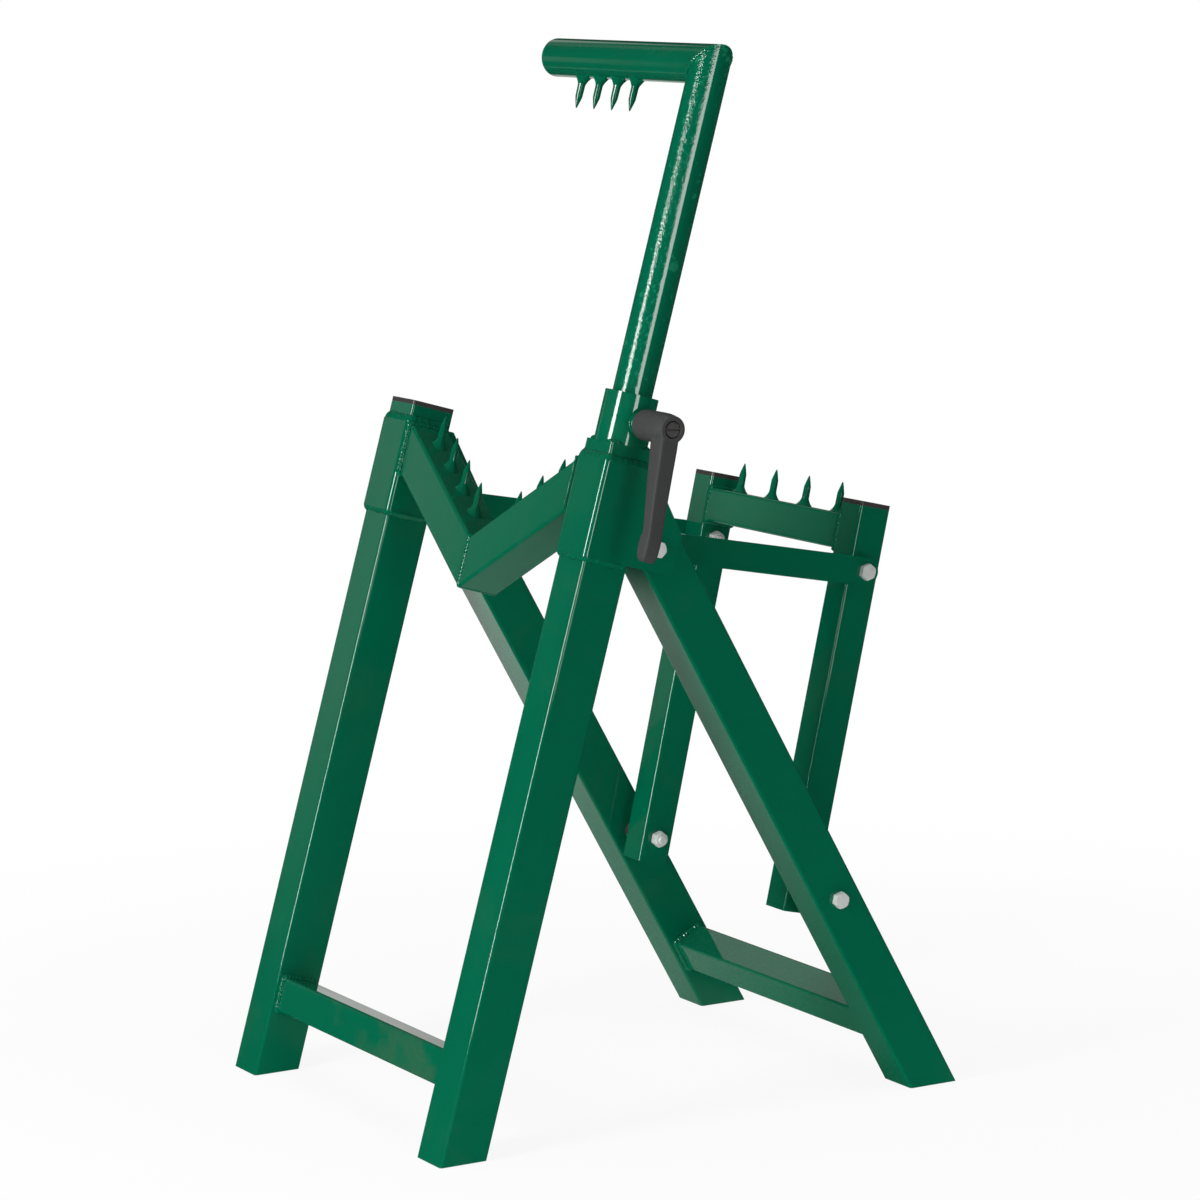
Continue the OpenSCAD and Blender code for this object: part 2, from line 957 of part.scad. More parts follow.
module lever_screw()
    color(zinc)
        stand_frame()
            in_lever()
                difference() {
                    union() {
                        translate([0, 0, insert_end - screw_grip])
                            cylinder(d = screw_diameter, h = head_start - insert_end + screw_grip);
                        translate([0, 0, head_start])
                            cylinder(d = screw_head, h = screw_head_height);
                    }
                    rotate(slot_turn)
                        translate([-slot_width / 2, -screw_head, head_start + screw_head_height - slot_depth])
                            cube([slot_width, 2 * screw_head, screw_head_height]);
                }

// Side view of the lever: X outwards, Y up from the hub's axis
module lever_side() {
    polygon([
        [hub_end - lever_root, 0],
        [hub_end, 0],
        [grip_outside, lever_grip - lever_length],
        [grip_outside - lever_blade, lever_grip - lever_length],
        [hub_end - lever_root, -hub_base / 2]
    ]);
    translate([grip_outside - lever_blade - lever_swell, -lever_length])
        grip_outline();
}

// The thicker grip, with round lower corners
module grip_outline() {
    thickness = lever_blade + lever_swell;
    translate([0, grip_corner])
        square([thickness, lever_grip - grip_corner]);
    translate([grip_corner, 0])
        square([thickness - 2 * grip_corner, lever_grip]);
    for (x = [grip_corner, thickness - grip_corner])
        translate([x, grip_corner])
            circle(grip_corner);
}

// Half section of the hub: round inner edge, straight middle, cone at the outer end
module hub_section() {
    square([hub_base / 2 - hub_round, hub_length]);
    translate([hub_base / 2 - hub_round, hub_round])
        circle(hub_round);
    polygon([
        [0, hub_round],
        [hub_base / 2, hub_round],
        [hub_base / 2, hub_length - hub_cone],
        [hub_tip / 2, hub_length],
        [0, hub_length]
    ]);
}

// Front view of the lever, with its rounded tip
module lever_front() {
    polygon([
        [-lever_width / 2, 0],
        [lever_width / 2, 0],
        [lever_tip_width / 2, lever_tip_width / 2 - lever_length],
        [-lever_tip_width / 2, lever_tip_width / 2 - lever_length]
    ]);
    translate([0, lever_tip_width / 2 - lever_length])
        circle(d = lever_tip_width);
}

module lever_handle()
    color(dark)
        stand_frame()
            difference() {
                union() {
                    in_lever()
                        translate([0, 0, hub_start])
                            rotate_extrude()
                                hub_section();
                    in_front()
                        translate([leg_x, 0, lever_s])
                            intersection() {
                                rotate([90, 0, 0])
                                    linear_extrude(2 * lever_width, center = true)
                                        lever_side();
                                rotate([90, 0, 90])
                                    linear_extrude(2 * hub_end)
                                        lever_front();
                            }
                }
                in_lever() {
                    translate([0, 0, boss_end])
                        linear_extrude(insert_base + tooth_length + side_play - boss_end)
                            toothed_section(tooth_gap);
                    translate([0, 0, boss_end])
                        cylinder(d = neck_diameter + 2 * running_fit, h = web_start - boss_end);
                    translate([0, 0, boss_end])
                        cylinder(d = screw_diameter + 2 * tooth_gap, h = hub_length);
                    translate([0, 0, web_end])
                        cylinder(d = recess_diameter, h = hub_length);
                }
            }

// Coil spring: rings of points along a helix, joined into one tube
module coil(diameter, wire, length, turns) {
    sides = coil_sides;
    rings = ceil(coil_rings * turns);
    rise = (length - wire) / rings;
    points = [
        for (i = [0 : rings], k = [0 : sides - 1])
            let (r = diameter / 2 + wire / 2 * cos(360 * k / sides), a = 360 * turns * i / rings)
                [r * cos(a), r * sin(a), wire / 2 + rise * i + wire / 2 * sin(360 * k / sides)]
    ];
    walls = [
        for (i = [0 : rings - 1], k = [0 : sides - 1])
            let (n = (k + 1) % sides)
                [i * sides + k, i * sides + n, (i + 1) * sides + n, (i + 1) * sides + k]
    ];
    ends = [
        [for (k = [0 : sides - 1]) sides - 1 - k],
        [for (k = [0 : sides - 1]) rings * sides + k]
    ];
    polyhedron(points, concat(walls, ends));
    echo(str("least gap between the spring's turns: ", (length - wire) / turns - wire, " mm"));
}

module lever_spring()
    color(zinc)
        stand_frame()
            in_lever()
                translate([0, 0, web_end + side_play / 2])
                    coil(spring_diameter, spring_wire, spring_length - side_play, spring_turns);

front_leg_left();
front_leg_right();
front_crossbar();
bracket_left();
bracket_right();
cradle_arm_left();
cradle_arm_right();
cradle_spikes_left();
cradle_spikes_right();
arm_sleeve();
clamp_boss();
leg_cap();
pivot_bolts();
pivot_spacers();
pivot_nuts();
rear_leg_left();
rear_leg_right();
rear_crossbar();
support_leg_left();
support_leg_right();
support_crossbar();
support_spikes();
support_cap_left();
support_cap_right();
stay_left();
stay_right();
support_bolts();
support_spacers();
support_nuts();
stay_bolts();
stay_nuts();
arm_guide();
arm_post();
arm_bar();
arm_spikes();
arm_cap();
clamp_stud();
lever_screw();
lever_handle();
lever_spring();
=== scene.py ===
import json
import math

import bmesh
import bpy
from mathutils import Matrix, Vector, noise

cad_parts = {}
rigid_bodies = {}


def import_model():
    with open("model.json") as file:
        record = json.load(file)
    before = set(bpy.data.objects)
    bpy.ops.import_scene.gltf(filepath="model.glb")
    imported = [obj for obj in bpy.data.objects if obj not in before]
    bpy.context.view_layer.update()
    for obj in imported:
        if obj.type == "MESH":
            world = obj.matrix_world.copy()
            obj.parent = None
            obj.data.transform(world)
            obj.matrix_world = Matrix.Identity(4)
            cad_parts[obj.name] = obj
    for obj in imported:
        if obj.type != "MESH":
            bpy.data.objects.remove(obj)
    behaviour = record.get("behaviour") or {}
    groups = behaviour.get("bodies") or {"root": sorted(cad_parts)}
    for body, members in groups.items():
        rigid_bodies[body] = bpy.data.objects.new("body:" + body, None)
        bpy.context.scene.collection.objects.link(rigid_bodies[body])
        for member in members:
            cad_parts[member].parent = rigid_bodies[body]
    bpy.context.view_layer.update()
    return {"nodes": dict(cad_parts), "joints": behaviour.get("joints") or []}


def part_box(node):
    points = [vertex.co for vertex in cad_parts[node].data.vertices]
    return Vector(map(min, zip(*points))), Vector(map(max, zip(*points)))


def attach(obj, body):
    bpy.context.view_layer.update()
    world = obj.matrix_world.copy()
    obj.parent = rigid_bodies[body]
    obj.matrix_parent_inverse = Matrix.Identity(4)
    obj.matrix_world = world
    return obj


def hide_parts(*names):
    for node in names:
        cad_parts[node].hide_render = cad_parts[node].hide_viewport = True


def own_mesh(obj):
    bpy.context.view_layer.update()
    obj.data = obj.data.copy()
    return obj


for leftover in list(bpy.data.objects):
    bpy.data.objects.remove(leftover)

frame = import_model()
nodes = frame["nodes"]
joints = {joint["name"]: joint for joint in frame["joints"]}


# Front legs
# Two square steel tubes, sawn level with the floor at the foot. Like all the steel of the stand
# they are powder coated after welding: a thick gloss green skin with a faint orange peel.

def shader_group(name, inputs, outputs):
    """An empty node group with named sockets, given as {name: (socket type, default value)}."""
    group = bpy.data.node_groups.new(name, "ShaderNodeTree")
    for label, (kind, value) in inputs.items():
        socket = group.interface.new_socket(label, in_out="INPUT", socket_type=kind)
        socket.default_value = value
    for label, kind in outputs.items():
        group.interface.new_socket(label, in_out="OUTPUT", socket_type=kind)
    tree = group.nodes
    return group, tree.new("NodeGroupInput"), tree.new("NodeGroupOutput")


def add_node(tree, kind, settings=None, values=None, links=None):
    """One node: settings on the node, values on its inputs, links from output sockets to its inputs."""
    node = tree.nodes.new(kind)
    for key, value in (settings or {}).items():
        setattr(node, key, value)
    for key, value in (values or {}).items():
        node.inputs[key].default_value = value
    for key, source in (links or {}).items():
        tree.links.new(source, node.inputs[key])
    return node


def mix_colours(tree, factor, first, second):
    """Mix of two colours; each is an output socket or a colour of four numbers."""
    node = tree.nodes.new("ShaderNodeMix")
    node.data_type = "RGBA"
    sockets = {socket.identifier: socket for socket in node.inputs}
    for key, value in (("Factor_Float", factor), ("A_Color", first), ("B_Color", second)):
        if isinstance(value, bpy.types.NodeSocket):
            tree.links.new(value, sockets[key])
        else:
            sockets[key].default_value = value
    return {socket.identifier: socket for socket in node.outputs}["Result_Color"]


def ramp(tree, source, low, high, low_out=0.0, high_out=1.0):
    """Value that climbs from low_out to high_out while the source goes from low to high."""
    node = add_node(tree, "ShaderNodeMapRange", {"interpolation_type": "SMOOTHSTEP"})
    for key, value in (("From Min", low), ("From Max", high), ("To Min", low_out), ("To Max", high_out)):
        node.inputs[key].default_value = value
    tree.links.new(source, node.inputs["Value"])
    return node.outputs["Result"]


def calculate(tree, operation, *terms):
    """Result of a Math node; each term is an output socket or a number."""
    node = add_node(tree, "ShaderNodeMath", {"operation": operation})
    for place, term in enumerate(terms):
        if isinstance(term, bpy.types.NodeSocket):
            tree.links.new(term, node.inputs[place])
        else:
            node.inputs[place].default_value = term
    return node.outputs[0]


def product(tree, first, second):
    """Product of two values."""
    return calculate(tree, "MULTIPLY", first, second)


def make_orange_peel():
    """Height of the flow-out pattern of a thick sprayed coat: broad swells and fine pimples."""
    group, entry, leave = shader_group(
        "orange_peel",
        {"Cells per metre": ("NodeSocketFloat", 260.0), "Pimples": ("NodeSocketFloat", 0.3)},
        {"Height": "NodeSocketFloat"})
    place = group.nodes.new("ShaderNodeTexCoord").outputs["Object"]
    swell = add_node(group, "ShaderNodeTexNoise", None, {"Detail": 1.0, "Roughness": 0.4},
                     {"Vector": place, "Scale": entry.outputs["Cells per metre"]})
    finer = product(group, entry.outputs["Cells per metre"], 3.1)
    pimple = add_node(group, "ShaderNodeTexNoise", None, {"Detail": 0.0}, {"Vector": place, "Scale": finer})
    weighed = product(group, pimple.outputs["Fac"], entry.outputs["Pimples"])
    total = calculate(group, "ADD", swell.outputs["Fac"], weighed)
    group.links.new(total, leave.inputs["Height"])
    return group


def make_worn_edge():
    """Mask of the sharp edges, where a coat pulls thin or a surface rubs bright."""
    group, entry, leave = shader_group(
        "worn_edge",
        {"Reach": ("NodeSocketFloat", 0.0012), "Patchiness": ("NodeSocketFloat", 0.5)},
        {"Mask": "NodeSocketFloat"})
    rounded = add_node(group, "ShaderNodeBevel", {"samples": 4}, None, {"Radius": entry.outputs["Reach"]})
    true = group.nodes.new("ShaderNodeNewGeometry")
    facing = add_node(group, "ShaderNodeVectorMath", {"operation": "DOT_PRODUCT"}, None,
                      {0: rounded.outputs["Normal"], 1: true.outputs["Normal"]})
    edge = ramp(group, facing.outputs["Value"], 0.995, 0.8)
    place = group.nodes.new("ShaderNodeTexCoord").outputs["Object"]
    patches = add_node(group, "ShaderNodeTexNoise", None, {"Scale": 70.0, "Detail": 3.0}, {"Vector": place})
    kept = product(group, patches.outputs["Fac"], entry.outputs["Patchiness"])
    rest = calculate(group, "SUBTRACT", 1.0, kept)
    group.links.new(product(group, edge, rest), leave.inputs["Mask"])
    return group


def make_cloudy_tone():
    """Slow lighter and darker drifts over a surface, dull handling smudges, and settled dust on top."""
    group, entry, leave = shader_group(
        "cloudy_tone",
        {"Color": ("NodeSocketColor", (0.5, 0.5, 0.5, 1.0)), "Drift": ("NodeSocketFloat", 0.1),
         "Dust": ("NodeSocketFloat", 0.05), "Smudge": ("NodeSocketFloat", 0.0),
         "Clouds per metre": ("NodeSocketFloat", 14.0)},
        {"Color": "NodeSocketColor", "Mask": "NodeSocketFloat"})
    place = group.nodes.new("ShaderNodeTexCoord").outputs["Object"]
    cloud = add_node(group, "ShaderNodeTexNoise", None, {"Detail": 4.0, "Roughness": 0.6},
                     {"Vector": place, "Scale": entry.outputs["Clouds per metre"]})
    centred = calculate(group, "SUBTRACT", cloud.outputs["Fac"], 0.5)
    swing = calculate(group, "MULTIPLY_ADD", centred, entry.outputs["Drift"], 1.0)
    toned = add_node(group, "ShaderNodeVectorMath", {"operation": "SCALE"}, None,
                     {0: entry.outputs["Color"], "Scale": swing})
    blotch = add_node(group, "ShaderNodeTexNoise", None,
                      {"Scale": 11.0, "Detail": 5.0, "Roughness": 0.68, "Distortion": 0.6},
                      {"Vector": place})
    smeared = product(group, ramp(group, blotch.outputs["Fac"], 0.49, 0.66), entry.outputs["Smudge"])
    dulled = mix_colours(group, smeared, toned.outputs[0], (0.115, 0.095, 0.058, 1.0))
    upward = add_node(group, "ShaderNodeSeparateXYZ", None, None,
                      {0: group.nodes.new("ShaderNodeNewGeometry").outputs["Normal"]})
    lying = ramp(group, upward.outputs["Z"], 0.35, 0.95)
    speckle = add_node(group, "ShaderNodeTexNoise", None, {"Scale": 420.0, "Detail": 2.0},
                       {"Vector": place})
    settled = product(group, lying, ramp(group, speckle.outputs["Fac"], 0.4, 0.75))
    dust = product(group, settled, entry.outputs["Dust"])
    dusty = mix_colours(group, dust, dulled, (0.42, 0.40, 0.36, 1.0))
    group.links.new(dusty, leave.inputs["Color"])
    group.links.new(cloud.outputs["Fac"], leave.inputs["Mask"])
    return group


orange_peel = make_orange_peel()
worn_edge = make_worn_edge()
cloudy_tone = make_cloudy_tone()


def new_material(name):
    """A material with an empty Principled shader; returns material, node tree and shader."""
    material = bpy.data.materials.new(name)
    material.use_nodes = True
    tree = material.node_tree
    return material, tree, tree.nodes["Principled BSDF"]


def place_group(tree, group, values):
    """A shared effect put into a material with its own values."""
    node = tree.nodes.new("ShaderNodeGroup")
    node.node_tree = group
    for key, value in values.items():
        node.inputs[key].default_value = value
    return node


def raise_bumps(tree, shader, height, strength, depth):
    """Bump of a given depth in metres from a height output into the shader's normal."""
    bump = add_node(tree, "ShaderNodeBump", None, {"Strength": strength, "Distance": depth},
                    {"Height": height})
    tree.links.new(bump.outputs["Normal"], shader.inputs["Normal"])


def plain_finish(name, tone, edge, worn_colour, roughness, grain, bump):
    """A finish with a cloudy tone, worn edges, uneven roughness and a fine grain, each with its own
    values; the bump is its strength and its depth in metres. Returns material and shader."""
    material, tree, shader = new_material(name)
    cloud = place_group(tree, cloudy_tone, tone)
    worn = place_group(tree, worn_edge, edge)
    colour = mix_colours(tree, worn.outputs["Mask"], cloud.outputs["Color"], worn_colour)
    tree.links.new(colour, shader.inputs["Base Color"])
    tree.links.new(ramp(tree, cloud.outputs["Mask"], 0.3, 0.7, *roughness), shader.inputs["Roughness"])
    peel = place_group(tree, orange_peel, grain)
    raise_bumps(tree, shader, peel.outputs["Height"], *bump)
    return material, shader


def make_green_powder(name, smudge=0.03, overspray=None):
    """Gloss deep green powder coat, a lighter green where it thins on sharp edges. An overspray
    turns the coat's height into a rougher one, and gives paler flecks and painted highlight specks."""
    material, tree, shader = new_material(name)
    tone = place_group(tree, cloudy_tone, {
        "Color": (0.0, 0.098, 0.048, 1.0), "Drift": 0.20, "Dust": 0.03, "Smudge": smudge,
        "Clouds per metre": 9.0})
    edge = place_group(tree, worn_edge, {"Reach": 0.0012, "Patchiness": 0.7})
    thin = product(tree, edge.outputs["Mask"], 0.3)
    colour = mix_colours(tree, thin, tone.outputs["Color"], (0.010, 0.160, 0.085, 1.0))
    peel = place_group(tree, orange_peel, {"Cells per metre": 380.0, "Pimples": 0.08})
    height, strength = peel.outputs["Height"], 0.035
    roughness = ramp(tree, tone.outputs["Mask"], 0.3, 0.7, 0.045, 0.085)
    if overspray:
        height, flecks_and_painted_glints = overspray(tree, height)
        # Paler flecks, partly painted highlight specks on the post's front right.
        colour = mix_colours(tree, flecks_and_painted_glints, colour, (0.012, 0.210, 0.110, 1.0))
        strength = 0.8
    tree.links.new(colour, shader.inputs["Base Color"])
    tree.links.new(roughness, shader.inputs["Roughness"])
    raise_bumps(tree, shader, height, strength, 0.00025)
    return material


green_powder = make_green_powder("green_powder")


def finish_nodes(names, material):
    """Gives CAD pieces their finish."""
    for name in names:
        slots = nodes[name].data.materials
        slots.clear()
        slots.append(material)


finish_nodes(("front_leg_left", "front_leg_right"), green_powder)

# The leg's own directions: across the stand, out of the rear face, and up the leaning tube
lean = math.atan2(joints["arm_slide"]["axis"][1], joints["arm_slide"]["axis"][2])
leg_low, leg_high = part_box("front_leg_right")
leg_half = (leg_high.x - leg_low.x) / 2
right_x = (leg_high.x + leg_low.x) / 2
left_x = sum(corner.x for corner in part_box("front_leg_left")) / 2
middle_x = (left_x + right_x) / 2
foot_y = leg_low.y + leg_half / math.cos(lean)
leg_length = (leg_high.z - leg_half * math.sin(lean)) / math.cos(lean)
across = Vector((1, 0, 0))
rearward = Vector((0, math.cos(lean), -math.sin(lean)))
upward = Vector((0, math.sin(lean), math.cos(lean)))


def on_front(x, out, up):
    """Point of the front frame: across the stand, behind the legs' axes, up along the legs."""
    return Vector((x, foot_y, 0)) + rearward * out + upward * up


# Front crossbar
# A lighter square tube between the front legs, butted against their inner faces and MIG welded
# all round; the ripples of the bead stay visible under the coat.

mm = 0.001
bead_points = 9
ripple_pitch = 3.4 * mm
ripple_height = 0.55 * mm
weld_step = 0.55 * mm
weld_depth = 0.6 * mm
run_out_steps = 6


def new_piece(name, points, faces, material, body):
    """A smooth mesh that rides on a body and takes a material slot."""
    mesh = bpy.data.meshes.new(name)
    mesh.from_pydata(points, [], faces)
    mesh.polygons.foreach_set("use_smooth", [True] * len(mesh.polygons))
    mesh.materials.append(material)
    mesh.update()
    piece = bpy.data.objects.new(name, mesh)
    bpy.context.scene.collection.objects.link(piece)
    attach(piece, body)
    return piece


def close_up(mesh):
    """Joins the double points of a mesh and turns its faces outwards."""
    shape = bmesh.new()
    shape.from_mesh(mesh)
    bmesh.ops.remove_doubles(shape, verts=shape.verts, dist=0.01 * mm)
    bmesh.ops.recalc_face_normals(shape, faces=shape.faces)
    shape.to_mesh(mesh)
    shape.free()


def fill_in(seam, step, closed):
    """Stations of a seam at even steps; each is a tuple of vectors that are interpolated together."""
    corners = list(seam) + ([seam[0]] if closed else [])
    stations = []
    for here, there in zip(corners, corners[1:]):
        count = max(1, round((there[0] - here[0]).length / step))
        for i in range(count):
            stations.append(tuple(a.lerp(b, i / count) for a, b in zip(here, there)))
    return stations if closed else stations + [corners[-1]]


def ring_faces(rings, sides, first=0, closed=False):
    """Faces between rings of points that follow one another, with the last joined to the first one
    if closed."""
    faces = []
    for ring in range(rings if closed else rings - 1):
        here, there = first + ring * sides, first + (ring + 1) % rings * sides
        for k in range(sides):
            beside = (k + 1) % sides
            faces.append((here + k, here + beside, there + beside, there + k))
    return faces


def lay_weld(name, seam, body, closed=True, crown=0.16, ripple=1.0):
    """A weld bead along a seam. A station holds the root of the joint, the reach of the bead over
    each of the two pieces, and the direction in which the bead bulges."""
    stations = fill_in(seam, weld_step, closed)
    points = []
    run, ring = 0.0, bead_points + 1
    for k, (root, first, second, bulge) in enumerate(stations):
        run += (root - stations[k - 1][0]).length if k else 0.0
        size = 1 + 0.22 * noise.noise(root * 90) + 0.12 * noise.noise(root * 320)
        drift = 0.5 * noise.noise(root * 140)
        if not closed:
            size *= min(1, 0.35 + 0.65 * math.sqrt(min(k, len(stations) - 1 - k) / run_out_steps))
        bulge = bulge.normalized()
        chord = (second - first).length
        for i in range(bead_points):
            u = i / (bead_points - 1)
            arch = 4 * u * (1 - u)
            wave = abs(math.sin(math.pi * (run / ripple_pitch + 0.4 * arch + drift)))
            height = crown * chord * arch + ripple * ripple_height * (wave - 0.5) * math.sqrt(arch)
            points.append(root + (first * (1 - u) + second * u) * size + bulge * height * size)
        points.append(root - bulge * weld_depth)
    count = len(stations)
    faces = ring_faces(count, ring, closed=closed)
    if not closed:
        faces.append(tuple(reversed(range(ring))))
        faces.append(tuple((count - 1) * ring + i for i in range(ring)))
    piece = new_piece(name, points, faces, green_powder, body)
    close_up(piece.data)
    return piece


def tube_outline(half_wide, half_high, corner, arc=5):
    """Points and outward directions round a tube's section, as pairs of plane vectors."""
    outline = []
    for k, (sx, sy) in enumerate(((1, 1), (-1, 1), (-1, -1), (1, -1))):
        centre = Vector((sx * (half_wide - corner), sy * (half_high - corner)))
        for i in range(arc + 1):
            angle = math.radians(90 * (k + i / arc))
            out = Vector((math.cos(angle), math.sin(angle)))
            outline.append((centre + out * corner, out))
    return outline


def bar_ends(box):
    """The two ends of a crossbar: label, middle of the end, and direction into the bar."""
    low, high = box
    middle = (low + high) / 2
    for label, x, inward in (("left", low.x, 1), ("right", high.x, -1)):
        yield label, Vector((x, middle.y, middle.z)), across * inward


def weld_bar(node, box, side, up, body):
    """Beads round both ends of a square bar that butts against the legs."""
    for label, centre, along in bar_ends(box):
        seam = []
        for point, out in tube_outline(bar_half, bar_half, bar_corner):
            away = side * out.x + up * out.y
            root = centre + side * point.x + up * point.y
            seam.append((root, away * bar_weld_reach, along * bar_weld_run, away + along))
        lay_weld(f"{node}_weld_{label}", seam, body, ripple=1.5)


finish_nodes(("front_crossbar",), make_green_powder("green_powder_smudged", 0.17))
bar_half = (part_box("support_leg_right")[1].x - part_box("support_leg_right")[0].x) / 2
bar_corner = 2.5 * mm
bar_weld_reach = 2.9 * mm
bar_weld_run = 1.15 * bar_weld_reach
weld_bar("front_crossbar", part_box("front_crossbar"), rearward, upward, "front_frame")


# Pivot brackets
# Channels folded from 3 mm sheet, slipped over the legs below their tops. A fat fillet weld runs
# along the top edge and another under the lower edge, round the front and both cheeks.

bracket_drop = 16 * mm
bracket_length = 81 * mm
bracket_sheet = 3 * mm
bracket_gap = 0.4 * mm
top_weld_rise, foot_weld_rise = 6.5 * mm, -4.2 * mm
leg_corner = 2.5 * mm
bracket_top = leg_length - bracket_drop
bracket_bottom = bracket_top - bracket_length


def bracket_edge_weld(name, leg_x, height, rise):
    """Fillet from the bracket's edge onto three sides of the leg; rise is signed along the leg."""
    outline = tube_outline(leg_half, leg_half, leg_corner)
    corner_points = len(outline) // 4
    seam = []
    for point, out in outline[corner_points:] + outline[:corner_points]:
        if point.y > leg_half - leg_corner * 0.9:
            continue
        root = on_front(leg_x + point.x, point.y, height)
        away = across * out.x + rearward * out.y
        ledge = bracket_sheet + bracket_gap * abs(out.x)
        seam.append((root, upward * rise, away * ledge, away + upward * math.copysign(0.6, rise)))
    lay_weld(name, seam, "front_frame", closed=False, crown=0.1, ripple=0.3)


finish_nodes(("bracket_left", "bracket_right"), green_powder)
for label, leg_x in (("left", left_x), ("right", right_x)):
    bracket_edge_weld(f"bracket_top_weld_{label}", leg_x, bracket_top, top_weld_rise)
    bracket_edge_weld(f"bracket_foot_weld_{label}", leg_x, bracket_bottom, foot_weld_rise)


# V cradle
# Two lengths of slightly lighter square tube, flush with the front of the legs, mitred and welded
# together in the middle and welded to the brackets at their outer ends.

cradle_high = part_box("cradle_arm_right")[1]
cradle_angle = math.radians(29.75)
cradle_half = 19.75 * mm
top_spread, side_spread, end_reach = 1.2 * mm, 3.6 * mm, 3.8 * mm
mitre_reach, mitre_swell = 2.6 * mm, 2.0 * mm
cradle_slant = cradle_half / math.cos(cradle_angle)
cradle_face = cradle_high.x - middle_x
cradle_valley = bracket_top - cradle_face * math.tan(cradle_angle)
finish_nodes(("cradle_arm_left", "cradle_arm_right"), green_powder)


def cradle_section(x, middle):
    """The slanted section of an arm in an upright plane: root points with their outward directions."""
    for point, out in tube_outline(cradle_half, cradle_slant, leg_corner):
        root = on_front(x, point.x + cradle_half - leg_half, middle + point.y)
        yield root, rearward * out.x + upward * out.y, out


for label, side in (("left", -1), ("right", 1)):
    seam = []
    inward = across * -side * math.cos(cradle_angle) - upward * math.sin(cradle_angle)
    for root, away, out in cradle_section(middle_x + side * cradle_face, bracket_top - cradle_slant):
        spread = top_spread if out.y > 0.5 else side_spread
        seam.append((root, away * spread, inward * end_reach, away + inward))
    lay_weld(f"cradle_end_weld_{label}", seam, "front_frame", crown=0.22, ripple=1.4)

seam = []
for root, away, out in cradle_section(middle_x, cradle_valley - cradle_slant):
    reach = mitre_reach + mitre_swell * max(0, -out.x - out.y - 1)
    to_left = (across * -math.cos(cradle_angle) + upward * math.sin(cradle_angle)) * reach
    to_right = (across * math.cos(cradle_angle) + upward * math.sin(cradle_angle)) * reach
    seam.append((root, to_left, to_right, away))
lay_weld("cradle_mitre_weld", seam, "front_frame", crown=0.27, ripple=1.3)


# Cradle spikes
# Pointed steel pegs set upright on both arms, each welded on all round its foot, where the weld
# makes a hollow skirt, and coated with the frame.

spike_radius, spike_length, spike_point, tip_radius = 3.1 * mm, 27 * mm, 10 * mm, 0.4 * mm
skirt_width, skirt_height, skirt_depth = 5.4 * mm, 7.5 * mm, 1.0 * mm
skirt_steps, point_steps, round_steps = 9, 6, 32


def find_tips(node, outward):
    """Middles of the tips of a row of spikes, the groups of corners that reach furthest outwards."""
    corners = [corner.co for corner in nodes[node].data.vertices]
    furthest = max(corner.dot(outward) for corner in corners)
    tips = []
    for corner in sorted((c for c in corners if furthest - c.dot(outward) < 0.6 * mm), key=lambda c: c.x):
        if not tips or corner.x - tips[-1][-1].x > 5 * mm:
            tips.append([])
        tips[-1].append(corner)
    return [Vector((min(c[i] for c in tip) + max(c[i] for c in tip)) / 2 for i in range(3)) for tip in tips]


def stand_spikes(name, node, body, axis, outward, seat):
    """Lathed pegs in place of a row of plain ones. The seat gives the height of the tube's surface
    at a place beside the foot of a peg, along the row and square to it."""
    points, faces = [], []
    sideways = axis.cross(across)
    rings = skirt_steps + point_steps + 1
    for tip in find_tips(node, outward):
        foot, first = tip - axis * spike_length, len(points)
        for step in range(rings):
            for k in range(round_steps):
                angle = 2 * math.pi * k / round_steps
                turn = Vector((math.cos(angle), math.sin(angle)))
                if step < skirt_steps:
                    share = 1 - step / skirt_steps
                    bead = abs(math.sin(4 * angle + 2.5 * noise.noise(foot * 60))) * share * (1 - share)
                    lump = 0.14 * noise.noise(foot * 50 + turn.to_3d() * 0.9)
                    radius = spike_radius + skirt_width * share ** 2.2 * (1 + lump) + 1.6 * mm * bead
                    low = seat(radius * turn.x, radius * turn.y) - skirt_depth
                    height = low * share + skirt_height * (1 - share)
                else:
                    along = (step - skirt_steps) / point_steps
                    radius = tip_radius + (spike_radius - tip_radius) * (1 - along) ** 0.9
                    height = spike_length - spike_point * (1 - along)
                points.append(foot + across * radius * turn.x + sideways * radius * turn.y + axis * height)
        faces += ring_faces(rings, round_steps, first)
        faces.append(tuple(first + k for k in reversed(range(round_steps))))
        faces.append(tuple(first + (rings - 1) * round_steps + k for k in range(round_steps)))
    spikes = new_piece(name, points, faces, green_powder, body)
    close_up(spikes.data)
    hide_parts(node)


finish_nodes(("cradle_spikes_left", "cradle_spikes_right"), green_powder)
for label, side in (("left", -1), ("right", 1)):
    outward = upward * math.cos(cradle_angle) - across * side * math.sin(cradle_angle)
    stand_spikes(f"cradle_spike_row_{label}", f"cradle_spikes_{label}", "front_frame", upward, outward,
                 lambda along, beside: side * along * math.tan(cradle_angle))


# Sleeve and clamp boss
# A short thick tube welded on top of the right leg guides the clamp arm. The threaded boss on
# its side takes the clamp stud and is welded in round its foot.

finish_nodes(("arm_sleeve", "clamp_boss"), green_powder)
sleeve_radius = (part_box("arm_sleeve")[1].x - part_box("arm_sleeve")[0].x) / 2
boss_radius = (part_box("clamp_boss")[1].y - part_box("clamp_boss")[0].y) / 2
clamp_centre = Vector(joints["clamp_turn"]["pos_m"])
boss_weld_reach, boss_stations = 1.2 * mm, 96

